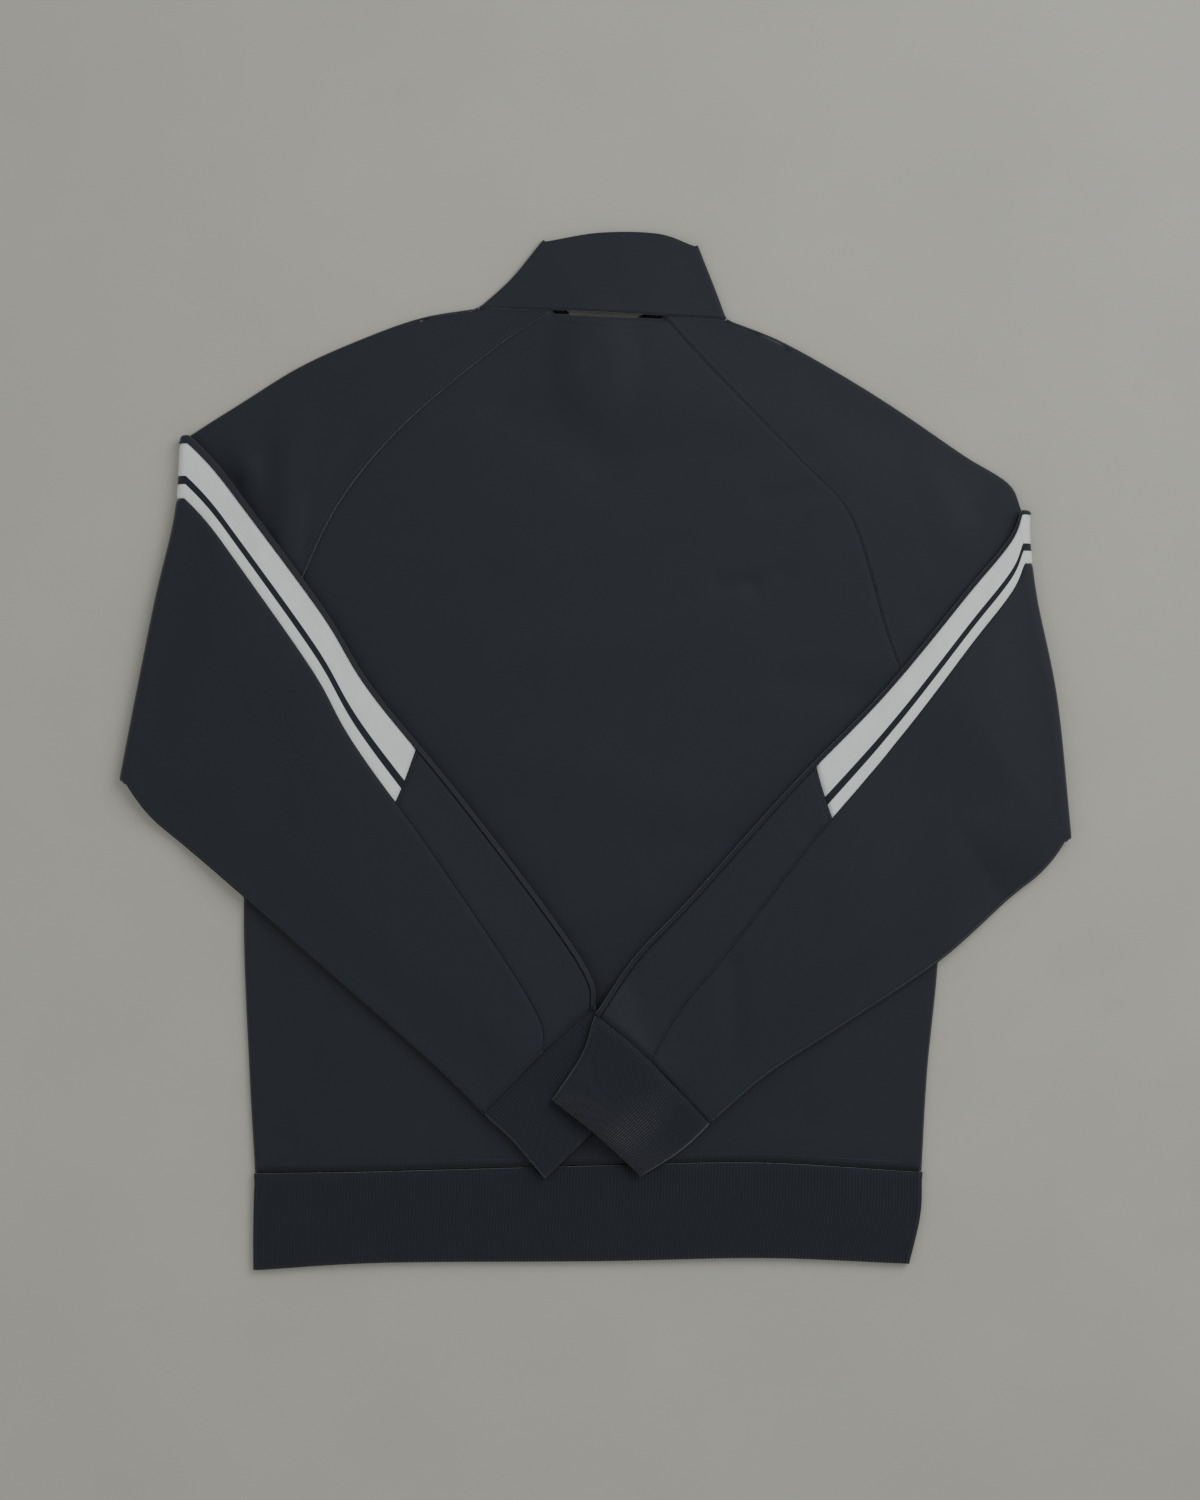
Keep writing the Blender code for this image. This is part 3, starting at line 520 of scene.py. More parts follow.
@dataclass
class Tube:
    """Two walls of a flattened tube, row by row, with rounded edges."""

    front: Grid
    back: Grid
    out_first: Grid
    out_last: Grid

    def marks(self, wall: Grid) -> list:
        """Distances of a wall's columns from the first edge."""
        steps = np.linalg.norm(np.diff(wall, axis=1), axis=2)
        along = np.concatenate([np.zeros((len(wall), 1)), np.cumsum(steps, axis=1)], axis=1)
        return list((along + QUARTER).T)

    def width(self, wall: Grid) -> Grid:
        """Cloth in each row of a wall, rounded edges included."""
        return self.marks(wall)[-1] + QUARTER

    def grid(self, columns: list) -> Grid:
        """Points at the given distances round the tube.

        Args:
            columns: for each column, one distance per row; positive over the front wall.

        Returns:
            A grid with one column of points for each entry.
        """
        table = np.array([np.broadcast_to(column, len(self.front)) for column in columns]).T
        return np.array([self._row(row, table[row]) for row in range(len(self.front))])

    def _row(self, row: int, distances: Grid) -> Grid:
        """One row of points."""
        result = np.zeros((len(distances), 3))
        for over_front in (True, False):
            chosen = (distances >= 0) == over_front
            if not chosen.any():
                continue
            wall, other = (self.front, self.back) if over_front else (self.back, self.front)
            wall, other = wall[row], other[row]
            along = lengths(wall)
            flat = np.abs(distances[chosen]) - QUARTER
            place = np.stack([np.interp(flat, along, wall[:, k]) for k in range(3)], axis=1)
            for end, out, short in (
                (0, self.out_first[row], -flat), (-1, self.out_last[row], flat - along[-1])
            ):
                turn = np.clip(short / PLY, 0, math.pi / 2)[:, None]
                middle = (wall[end] + other[end]) / 2
                half = wall[end] - middle
                bent = middle + half * np.cos(turn) + out * np.linalg.norm(half) * np.sin(turn)
                place = np.where(short[:, None] > 0, bent, place)
            result[chosen] = place
        return result


def spaced(start: Grid, end: Grid, count: int) -> list:
    """Columns of distances, evenly spaced from start to end in each row."""
    return [start + (end - start) * k / count for k in range(count + 1)]


def trimmed(grid: Grid, gaps: tuple) -> Grid:
    """The grid with its first and last rows and columns drawn in by the given gaps."""
    grid = grid.copy()
    for gap, edge, inner in (
        (gaps[0], np.s_[0], np.s_[1]),
        (gaps[1], np.s_[-1], np.s_[-2]),
        (gaps[2], np.s_[:, 0], np.s_[:, 1]),
        (gaps[3], np.s_[:, -1], np.s_[:, -2]),
    ):
        run = grid[inner] - grid[edge]
        length = np.maximum(np.linalg.norm(run, axis=-1, keepdims=True), 1e-6)
        grid[edge] = grid[edge] + run / length * np.minimum(gap, 0.4 * length)
    return grid


def normals_of(grid: Grid) -> Grid:
    """Unit normals of a grid of points."""
    across = np.gradient(grid, axis=1)
    along = np.gradient(grid, axis=0)
    normal = np.cross(across, along)
    return normal / np.maximum(np.linalg.norm(normal, axis=-1, keepdims=True), 1e-9)


def arcs(grid: Grid) -> tuple:
    """Distances along rows and along columns at every point of a grid."""
    across = np.linalg.norm(np.diff(grid, axis=1), axis=2)
    along = np.linalg.norm(np.diff(grid, axis=0), axis=2)
    across = np.concatenate([np.zeros((grid.shape[0], 1)), np.cumsum(across, axis=1)], axis=1)
    along = np.concatenate([np.zeros((1, grid.shape[1])), np.cumsum(along, axis=0)], axis=0)
    return across, along


def placed(name: str, data: bpy.types.ID) -> bpy.types.Object:
    """Put a mesh, curve, lamp or camera into the scene as an object."""
    made = bpy.data.objects.new(name, data)
    bpy.context.scene.collection.objects.link(made)
    return made


def mottled(
    tree: bpy.types.NodeTree, vector: bpy.types.NodeSocket, colour: tuple, spread: tuple,
    scale: float, detail: float,
) -> bpy.types.NodeSocket:
    """A colour that varies a little from place to place.

    Args:
        tree: the material's nodes.
        vector: the output that gives the place.
        colour: the middle colour.
        spread: factors of the darkest and the lightest.
        scale: of the noise.
        detail: of the noise.

    Returns:
        The output that carries the colour.
    """
    noise = tree.nodes.new("ShaderNodeTexNoise")
    noise.inputs["Scale"].default_value = scale
    noise.inputs["Detail"].default_value = detail
    tree.links.new(vector, noise.inputs["Vector"])
    mix = tree.nodes.new("ShaderNodeMix")
    mix.data_type = "RGBA"
    for socket, factor in zip("AB", spread):
        mix.inputs[socket].default_value = (*[c * factor for c in colour], 1)
    tree.links.new(noise.outputs["Fac"], mix.inputs["Factor"])
    return mix.outputs["Result"]


KNIT_SPREAD = (0.86, 1.14)
LOOPS_TO_A_CLOUD = 24
WALE_SCALE = 0.314  # gives the wave texture one band to a loop
BUMP_DEPTH = 0.0004
NAVY_LINE = (0.585, 0.597, 0.742, 0.754)  # across the tape: its two soft edges


@dataclass(frozen=True)
class Finish:
    """A knitted cloth: its colour, how it scatters light and the size of its loops.

    band is True for the striped tape.
    """

    name: str
    colour: tuple
    roughness: float = 0.72
    sheen: float = 0.25
    loop: float = 0.0009
    bump: float = 0.10
    band: bool = False

    def make(self) -> bpy.types.Material:
        """Build the material."""
        made = bpy.data.materials.new(self.name)
        made.use_nodes = True
        nodes, links = made.node_tree.nodes, made.node_tree.links
        shader = nodes["Principled BSDF"]
        shader.inputs["Roughness"].default_value = self.roughness
        shader.inputs["Sheen Weight"].default_value = self.sheen
        shader.inputs["Sheen Roughness"].default_value = 0.45
        shader.inputs["Specular IOR Level"].default_value = 0.35
        uv = nodes.new("ShaderNodeUVMap")
        uv.uv_map = "cloth"
        fine = nodes.new("ShaderNodeTexNoise")
        fine.inputs["Scale"].default_value = 1 / self.loop
        fine.inputs["Detail"].default_value = 2
        links.new(uv.outputs["UV"], fine.inputs["Vector"])
        colour = mottled(
            made.node_tree, uv.outputs["UV"], self.colour, KNIT_SPREAD,
            1 / (LOOPS_TO_A_CLOUD * self.loop), 6,
        )
        if self.band:
            colour = self._banded(nodes, links, colour)
        links.new(colour, shader.inputs["Base Color"])
        wale = nodes.new("ShaderNodeTexWave")
        wale.wave_type = "BANDS"
        wale.bands_direction = "X"
        wale.inputs["Scale"].default_value = WALE_SCALE / self.loop
        wale.inputs["Distortion"].default_value = 0.6
        links.new(uv.outputs["UV"], wale.inputs["Vector"])
        mixed = nodes.new("ShaderNodeMath")
        mixed.operation = "ADD"
        links.new(wale.outputs["Fac"], mixed.inputs[0])
        links.new(fine.outputs["Fac"], mixed.inputs[1])
        bump = nodes.new("ShaderNodeBump")
        bump.inputs["Strength"].default_value = self.bump
        bump.inputs["Distance"].default_value = BUMP_DEPTH
        links.new(mixed.outputs["Value"], bump.inputs["Height"])
        links.new(bump.outputs["Normal"], shader.inputs["Normal"])
        return made

    def _banded(
        self, nodes: bpy.types.Nodes, links: bpy.types.NodeLinks, white: bpy.types.NodeSocket
    ) -> bpy.types.NodeSocket:
        """A navy line between a wide and a narrow white band.

        Args:
            nodes: the material's nodes.
            links: the material's links.
            white: the colour of the bands.

        Returns:
            The output that carries the colour.
        """
        share = nodes.new("ShaderNodeAttribute")
        share.attribute_name = "across"
        ramp = nodes.new("ShaderNodeValToRGB")
        ramp.color_ramp.interpolation = "LINEAR"
        ramp.color_ramp.elements[0].position = 0
        ramp.color_ramp.elements[1].position = 1
        ramp.color_ramp.elements[1].color = (0, 0, 0, 1)
        for position, value in zip(NAVY_LINE, (0, 1, 1, 0)):
            stop = ramp.color_ramp.elements.new(position)
            stop.color = (value, value, value, 1)
        links.new(share.outputs["Fac"], ramp.inputs["Fac"])
        mix = nodes.new("ShaderNodeMix")
        mix.data_type = "RGBA"
        mix.inputs["B"].default_value = (*NAVY, 1)
        links.new(ramp.outputs["Color"], mix.inputs["Factor"])
        links.new(white, mix.inputs["A"])
        return mix.outputs["Result"]


NAVY = (0.0042, 0.0068, 0.0135)
WHITE = (0.58, 0.62, 0.62)
KNIT = Finish("navy_knit", NAVY)
RIB = Finish("navy_rib", tuple(c * 1.1 for c in NAVY), roughness=0.8, bump=0.2)
TAPE = Finish("striped_tape", WHITE, roughness=0.8, loop=0.0011, bump=0.35, band=True)
THREAD = Finish("navy_thread", tuple(c * 1.6 for c in NAVY), roughness=0.6, loop=0.0004)
HARD = Finish("navy_zip", tuple(c * 2.0 for c in NAVY), roughness=0.4, sheen=0.0)


@dataclass
class Workshop:
    """Makes the cloth meshes and the topstitching, and remembers the finishes."""

    finishes: dict = field(default_factory=dict)

    def finish(self, finish: Finish) -> bpy.types.Material:
        """The material of a finish, made once."""
        if finish.name not in self.finishes:
            self.finishes[finish.name] = finish.make()
        return self.finishes[finish.name]

    def cloth(
        self, name: str, grid: Grid, wall: float, finish: Finish, slot: str, node: str,
        held: Held, dips: str = "", ribs: float = 0.0,
    ) -> bpy.types.Object:
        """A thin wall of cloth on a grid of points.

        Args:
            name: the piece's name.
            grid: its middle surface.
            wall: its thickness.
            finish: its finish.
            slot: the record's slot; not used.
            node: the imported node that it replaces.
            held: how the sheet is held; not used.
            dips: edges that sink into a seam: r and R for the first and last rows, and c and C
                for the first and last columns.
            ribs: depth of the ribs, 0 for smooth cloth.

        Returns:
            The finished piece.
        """
        across, along = arcs(grid)
        normal = normals_of(grid)
        shift = np.zeros(grid.shape[:2])
        for mark, distance in (
            ("r", along), ("R", along[-1:] - along), ("c", across), ("C", across[:, -1:] - across)
        ):
            if mark in dips:
                shift -= SEAM_DIP * np.exp(-((distance / SEAM_DIP_WIDTH) ** 2))
        if ribs:
            shift += ribs * np.cos(2 * math.pi * np.arange(grid.shape[1]) / RIB_SAMPLES)[None, :]
        outside = self._outside(grid, normal)
        grid = grid + normal * (shift * outside)[..., None]
        rows, columns = grid.shape[:2]
        bm = bmesh.new()
        bmesh.ops.create_grid(bm, x_segments=columns - 1, y_segments=rows - 1, size=1)
        layer = bm.loops.layers.uv.new("cloth")
        share = bm.verts.layers.float.new("across")
        flat = ((grid - ORIGIN) * MM).reshape(-1, 3)
        places = np.stack([across, along], axis=-1).reshape(-1, 2) * MM
        widths = (across / np.maximum(across[:, -1:], 1e-6)).reshape(-1)
        bm.verts.ensure_lookup_table()
        for vert in bm.verts:
            vert.co = flat[vert.index]
            vert[share] = widths[vert.index]
        for face in bm.faces:
            for loop in face.loops:
                loop[layer].uv = places[loop.vert.index]
        mesh = bpy.data.meshes.new(name)
        bm.to_mesh(mesh)
        bm.free()
        mesh.shade_smooth()
        mesh.materials.append(self.finish(finish))
        piece = placed(name, mesh)
        shell = piece.modifiers.new("Wall", "SOLIDIFY")
        shell.thickness = wall * MM
        shell.offset = 0
        self._register(piece, node)
        cells = np.linalg.norm(
            np.cross(np.diff(grid, axis=1)[:-1], np.diff(grid, axis=0)[:, :-1]), axis=2
        )
        width = across[:, -1].max() * MM
        length = along[-1].max() * MM
        area = min(cells.sum() * MM * MM, width * length)
        area = max(area, LEAST_AREA * width * length)
        LOG.info("%s: %d x %d points", name, rows, columns)
        return piece

    def _outside(self, grid: Grid, normal: Grid) -> float:
        """1 where the grid's normals point out of the jacket, -1 where they point in."""
        top = grid[..., 2] > np.median(grid[..., 2])
        share = normal[..., 2][top].mean() if top.any() else 1.0
        lowest = grid[..., 2].mean() < WALL + SLIDER_RISE
        return (-1.0 if share < 0 else 1.0) * (-1.0 if lowest else 1.0)

    def _register(self, piece: bpy.types.Object, node: str) -> None:
        """Attach a piece to the root body and hide the imported node that it replaces."""
        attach(piece, "root")
        if node:
            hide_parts(node)

    def stitches(self, name: str, lines: list) -> None:
        """Topstitching along lines, as one mesh of short threads.

        Args:
            name: the piece's name.
            lines: polylines on the cloth's surface.
        """
        data = bpy.data.curves.new(name + "_path", "CURVE")
        data.dimensions = "3D"
        for line in lines:
            spline = data.splines.new("POLY")
            spline.points.add(len(line) - 1)
            for point, place in zip(spline.points, line):
                point.co = (*((place - ORIGIN) * MM), 1)
        path = placed(name + "_path", data)
        tree = self._stitch_tree()
        modifier = path.modifiers.new("Stitches", "NODES")
        modifier.node_group = tree
        sizes = {
            "Pitch": STITCH_PITCH * MM, "Length": STITCH_LENGTH * MM, "Radius": THREAD_RADIUS * MM
        }
        for item in tree.interface.items_tree:
            if item.name in sizes:
                modifier[item.identifier] = sizes[item.name]
            if item.name == "Thread":
                modifier[item.identifier] = self.finish(THREAD)
        graph = bpy.context.evaluated_depsgraph_get()
        mesh = bpy.data.meshes.new_from_object(path.evaluated_get(graph))
        bpy.data.objects.remove(path)
        mesh.name = name
        piece = placed(name, mesh)
        self._register(piece, "")
        LOG.info("%s: %d faces", name, len(mesh.polygons))

    def _stitch_tree(self) -> bpy.types.NodeTree:
        """The stitch maker: short threads set along a curve."""
        known = bpy.data.node_groups.get("stitch_maker")
        if known:
            return known
        tree = bpy.data.node_groups.new("stitch_maker", "GeometryNodeTree")
        face = tree.interface
        face.new_socket("Geometry", in_out="INPUT", socket_type="NodeSocketGeometry")
        for name in ("Pitch", "Length", "Radius"):
            face.new_socket(name, in_out="INPUT", socket_type="NodeSocketFloat")
        face.new_socket("Thread", in_out="INPUT", socket_type="NodeSocketMaterial")
        face.new_socket("Geometry", in_out="OUTPUT", socket_type="NodeSocketGeometry")
        nodes, links = tree.nodes, tree.links
        inputs, outputs = nodes.new("NodeGroupInput"), nodes.new("NodeGroupOutput")
        steps, thread, place, real, coat = (
            nodes.new("GeometryNode" + kind) for kind in (
                "CurveToPoints", "MeshCylinder", "InstanceOnPoints", "RealizeInstances",
                "SetMaterial",
            )
        )
        steps.mode = "LENGTH"
        thread.inputs["Vertices"].default_value = 5
        for source, output, target, socket in (
            (inputs, "Geometry", steps, "Curve"),
            (inputs, "Pitch", steps, "Length"),
            (inputs, "Radius", thread, "Radius"),
            (inputs, "Length", thread, "Depth"),
            (steps, "Points", place, "Points"),
            (steps, "Rotation", place, "Rotation"),
            (thread, "Mesh", place, "Instance"),
            (place, "Instances", real, "Geometry"),
            (real, "Geometry", coat, "Geometry"),
            (inputs, "Thread", coat, "Material"),
            (coat, "Geometry", outputs, "Geometry"),
        ):
            links.new(source.outputs[output], target.inputs[socket])
        return tree


def beside(grid: Grid, edge: str, distance: float) -> Grid:
    """A line on the cloth's upper face, a distance in from an edge.

    Args:
        grid: the piece's middle surface.
        edge: r, R, c or C for the first or last row or column.
        distance: how far in.

    Returns:
        Points just above the cloth.
    """
    if edge in "rR":
        grid = grid.transpose(1, 0, 2)
    if edge in "RC":
        grid = grid[:, ::-1]
    line = []
    for row in grid:
        along = lengths(row)
        line.append([np.interp(distance, along, row[:, k]) for k in range(3)])
    return np.array(line) + np.array([0, 0, WALL / 2 + THREAD_LIFT])


@dataclass
class Sleeve:
    """A folded sleeve: back, front, tape, strip, cuff and its topstitching."""

    side: Side
    shop: Workshop
    gap: float = SEAM_GAP / 2

    def __post_init__(self) -> None:
        """Work out which way the sleeve turns."""
        self.turn = 1 if self.side is RIGHT else -1
        self.columns = NECK_COLUMNS + RAGLAN_ROWS

    def tube(self) -> Tube:
        """The whole sleeve, from its raglan seams over the fold to the cuff seam."""
        side, turn, columns = self.side, self.turn, self.columns
        fold = curve(side.fold, columns)
        fold_out = outward(fold, turn)
        fold_line = fold - fold_out * (FOLD + PLY + WALL / 2)
        first_along = unit(fold_line[0] - fold_line[1])
        last_along = unit(fold_line[-1] - fold_line[-2])
        step = np.linalg.norm(fold_line[0] - fold_line[1])
        start = fold_line[0] - first_along * min(2, step * 0.9)
        end = fold_line[-1] - last_along * min(2, step * 0.9)
        fold_line = resample(np.vstack([start, fold_line[1:-1], end]), columns)
        top, shoulder_out = drawn_in(side.shoulder, LOWER_ROWS, turn)
        low, under_out = drawn_in(side.under_lower, LOWER_ROWS, -turn)
        top = fitted(top, top[0], fold_line[0])
        low = fitted(low, low[0], fold_line[-1])
        walls = []
        for neck, raglan in (
            (side.neck_front, side.raglan_front), (side.neck_back, side.raglan_back)
        ):
            first = chain(curve(neck, NECK_COLUMNS), curve(raglan, RAGLAN_ROWS))
            first[0] = top[0]
            first[-1] = low[0]
            walls.append(coons(first, fold_line, top, low))
        front = [lifted(walls[0], floor_height(walls[0]))]
        back = [lifted(walls[1], back_height(walls[1]))]
        axis = WALL / 2 + FOLD + PLY
        for step in range(1, FOLD_ROWS):
            angle = math.pi * step / FOLD_ROWS
            for wall, radius in ((front, FOLD + PLY), (back, FOLD - PLY)):
                plan = fold_line + fold_out * radius * math.sin(angle)
                height = np.full(columns + 1, axis - radius * math.cos(angle))
                wall.append(lifted(plan, height)[None])
        plan, inner_out, outer_out = self._folded_plan(fold_line)
        height = folded_height(side, plan)
        front.append(lifted(plan, height + 2 * PLY + folded_puff(side, plan)))
        back.append(lifted(plan, height))
        turned = FOLD_ROWS - 1
        out_first = np.vstack([
            eased(shoulder_out, first_along, -1), np.repeat(first_along[None], turned, axis=0),
            eased(inner_out, first_along, 0),
        ])
        out_last = np.vstack([
            eased(under_out, last_along, -1), np.repeat(last_along[None], turned, axis=0),
            eased(outer_out, last_along, 0),
        ])
        return Tube(
            np.vstack(front), np.vstack(back), with_height(out_first), with_height(out_last)
        )

    def _folded_plan(self, fold_line: Grid) -> tuple:
        """Plan of the folded half and the outward directions of its two edges."""
        inner, inner_out = drawn_in(self.side.inner_edge, UPPER_ROWS, -self.turn)
        outer, outer_out = drawn_in(self.side.under_edge, UPPER_ROWS, self.turn)
        seam = fitted(curve(self.side.cuff_seam, self.columns), inner[-1], outer[-1])
        inner_line = self._joined(inner, fold_line[0])
        outer_line = self._joined(outer, fold_line[-1])
        return coons(fold_line, seam, inner_line, outer_line), inner_out, outer_out

    @staticmethod
    def _joined(line: Grid, corner: Grid) -> Grid:
        """A line whose start is eased to a corner over its first tenth."""
        line = line.copy()
        count = max(3, len(line) // 10)
        miss = corner - line[0]
        for step in range(count):
            line[step] += miss * (1 - step / count) ** 2
        return line

    def distances(self, rows: int) -> tuple:
        """Distances of the tape's two seams round the sleeve, row by row."""
        seams = self.side.seams
        share = np.linspace(0, 1, rows)
        at = [seam.at for seam in seams]
        upper = np.interp(share, at, [seam.upper for seam in seams])
        lower = np.interp(share, at, [seam.lower for seam in seams])
        return upper, lower

    def build(self) -> None:
        """Make every piece of the sleeve."""
        gap = self.gap
        tube = self.tube()
        rows = len(tube.front)
        upper, lower = self.distances(rows)
        front_width, back_width = tube.width(tube.front), tube.width(tube.back)
        columns = spaced(upper, np.full(rows, -QUARTER), 2 * ROUND_COLUMNS)
        columns += [-mark for mark in tube.marks(tube.back)[1:]]
        columns += spaced(QUARTER - back_width, -back_width, ROUND_COLUMNS)[1:]
        back = self._cloth("sleeve_back", tube.grid(columns), (gap, gap, gap, SEAM_GAP))
        marks = tube.marks(tube.front)[NECK_COLUMNS:]
        lower[0] = marks[0][0]
        stretch = (marks[-1] - lower) / (marks[-1] - marks[0])
        columns = spaced(front_width, front_width - QUARTER, ROUND_COLUMNS)
        columns += [lower + (mark - marks[0]) * stretch for mark in marks[-2::-1]]
        front = self._cloth("sleeve_front", tube.grid(columns), (gap, gap, SEAM_GAP, gap))
        insert = tube.grid(spaced(upper, lower, TAPE_COLUMNS))
        end = self._tape_row(rows)
        self._cloth("shoulder_tape", insert[: end + 1], (gap, gap, gap, gap), TAPE, "tape")
        strip = self._cloth("overarm_strip", insert[end:], (gap, gap, gap, gap))
        shown = front[LOWER_ROWS + FOLD_ROWS + 2 :]
        lines = [
            beside(strip, "c", TOPSTITCH)[2:-2],
            beside(strip, "C", EDGE_STITCH)[2:-2],
            beside(shown, "R", TOPSTITCH)[3:-3],
            beside(strip, "R", TOPSTITCH)[1:-1],
            beside(strip, "r", TAPE_END_STITCH)[1:-1],
            beside(back[:LOWER_ROWS], "r", RAGLAN_TOPSTITCH)[24:-12],
        ]
        self.shop.stitches(f"sleeve_stitches_{self.side.name}", lines)
        self._cuff(tube)

    def _cloth(
        self, part: str, grid: Grid, gaps: tuple, finish: Finish = KNIT, slot: str = "knit"
    ) -> Grid:
        """Make one smooth piece of the sleeve.

        Args:
            part: what a maker calls it.
            grid: its middle surface, up to its seams.
            gaps: how far its first and last rows and columns are drawn in.
            finish: its finish.
            slot: the record's slot; passed on, not used.

        Returns:
            The middle surface as made.
        """
        grid = trimmed(grid, gaps)
        side = self.side.name
        self.shop.cloth(f"{part}_cloth_{side}", grid, WALL, finish, slot, f"{part}_{side}",
                        Held.FOLDED, dips="rRcC")
        return grid

    def _tape_row(self, rows: int) -> int:
        """The row where the tape ends."""
        before = LOWER_ROWS + FOLD_ROWS
        return before + round(self.side.tape_share * (rows - before))

    def _cuff(self, tube: Tube) -> None:
        """The rib cuff, a flattened ring that carries the sleeve on."""
        side, turn = self.side, self.turn
        start = tube.front[-1, :, :2]
        inner, inner_out = drawn_in(side.cuff_inner, RIB_ROWS, -turn)
        outer, outer_out = drawn_in(side.cuff_outer, RIB_ROWS, turn)
        inner, outer = self._joined(inner, start[0]), self._joined(outer, start[-1])
        end = fitted(curve(side.cuff_end, self.columns), inner[-1], outer[-1])
        plan = coons(start, end, inner, outer)
        height = folded_height(side, plan)
        cuff = Tube(
            lifted(plan, height + 2 * PLY + CUFF_PUFF * folded_puff(side, plan)),
            lifted(plan, height), with_height(inner_out), with_height(outer_out),
        )
        front_width, back_width = cuff.width(cuff.front), cuff.width(cuff.back)
        around = float((front_width + back_width)[0])
        count = RIB_SAMPLES * round(around / RIB_PITCH)
        half = count // 2
        ring = spaced(np.zeros(RIB_ROWS + 1), front_width, half)
        ring += spaced(-back_width, np.full(RIB_ROWS + 1, -1e-6), count - half)[1:]
        grid = trimmed(cuff.grid(ring), (SEAM_GAP, 0, 0, 0))
        self.shop.cloth(f"cuff_cloth_{side.name}", grid, RIB_WALL, RIB, "rib",
                        f"cuff_{side.name}", Held.FOLDED, dips="r", ribs=RIB_DEPTH)


@dataclass
class Body:
    """The back and both fronts, with their topstitching."""

    shop: Workshop
    gap: float = SEAM_GAP / 2

    def side_edge(self, side: Side, raglan: Sequence[Point]) -> tuple:
        """A panel's outer line, its outward directions and how much each row is bent."""
        turn = 1 if side is RIGHT else -1
        line = chain(curve(side.side, SIDE_ROWS), curve(raglan, RAGLAN_ROWS)[::-1])
        out = outward(line, -turn)
        before, after = out[SIDE_ROWS - 7].copy(), out[SIDE_ROWS + 7].copy()
        for step in range(-6, 7):
            share = (step + 6) / 12
            out[SIDE_ROWS + step] = unit(before * (1 - share) + after * share)
        bend = smooth((SIDE_ROWS - np.arange(len(line))) / 8)
        reach = (EDGE * bend + QUARTER * (1 - bend))[:, None]
        return line - out * reach, out, bend

    @staticmethod
    def rounded(grid: Grid, out: Grid, bend: Grid, rise: int) -> Grid:
        """A grid with columns added that turn a quarter round towards the other wall."""
        bend = np.maximum(bend, 0.02)[:, None]
        added = []
        for step in range(1, ROUND_COLUMNS + 1):
            angle = bend * (math.pi / 2) * step / ROUND_COLUMNS
            level = out * np.sin(angle) * PLY / bend
            height = rise * PLY / bend * (1 - np.cos(angle))
            added.append(grid[:, -1] + np.concatenate([level, height], axis=1))
        return np.concatenate([grid, np.stack(added, axis=1)], axis=1)

    def build(self) -> None:
        """Make the three panels."""
        left, left_out, left_bend = self.side_edge(LEFT, LEFT.raglan_back)
        right, right_out, right_bend = self.side_edge(RIGHT, RIGHT.raglan_back)
        bottom = fitted(curve(HEM_SEAM, BACK_COLUMNS), left[0], right[0])
        top = fitted(curve(NECK_BACK, BACK_COLUMNS), left[-1], right[-1])
        plan = coons(bottom, top, left, right)
        grid = lifted(plan, back_height(plan))
        grid = self.rounded(grid, right_out, right_bend, -1)
        grid = self.rounded(grid[:, ::-1], left_out, left_bend, -1)[:, ::-1]
        grid = trimmed(grid, (self.gap, self.gap, SEAM_GAP, SEAM_GAP))
        self.shop.cloth("back_cloth", grid, WALL, KNIT, "knit", "back", Held.LAID, dips="rRcC")
        lines = [beside(grid, "r", HEM_TOPSTITCH)[8:-8], beside(grid, "R", TOPSTITCH)[10:-10]]
        self.shop.stitches("back_stitches", lines)
        for side in (LEFT, RIGHT):
            self._front(side)

    def _front(self, side: Side) -> None:
        """A front panel, turned up along its side."""
        edge, out, bend = self.side_edge(side, side.raglan_front)
        sign = 1 if side is RIGHT else -1
        share = curve(HEM_SEAM, 2 * FRONT_COLUMNS)
        bottom = share[FRONT_COLUMNS:] if side is RIGHT else share[: FRONT_COLUMNS + 1][::-1]
        centre_x = sign * FRONT_EDGE
        bottom = fitted(bottom, np.array([centre_x, bottom[0, 1]]), edge[0])
        neck = curve(NECK_FRONT[side.name], FRONT_COLUMNS)[::-1]
        neck = fitted(neck, np.array([centre_x, FRONT_NECK_Y]), edge[-1])
        plan = coons(bottom, neck, np.linspace(bottom[0], neck[0], len(edge)), edge)
        grid = self.rounded(lifted(plan, floor_height(plan)), out, bend, 1)
        grid = trimmed(grid, (self.gap, self.gap, 0, SEAM_GAP))
        self.shop.cloth(f"front_cloth_{side.name}", grid, WALL, KNIT, "knit",
                        f"front_{side.name}", Held.LAID)


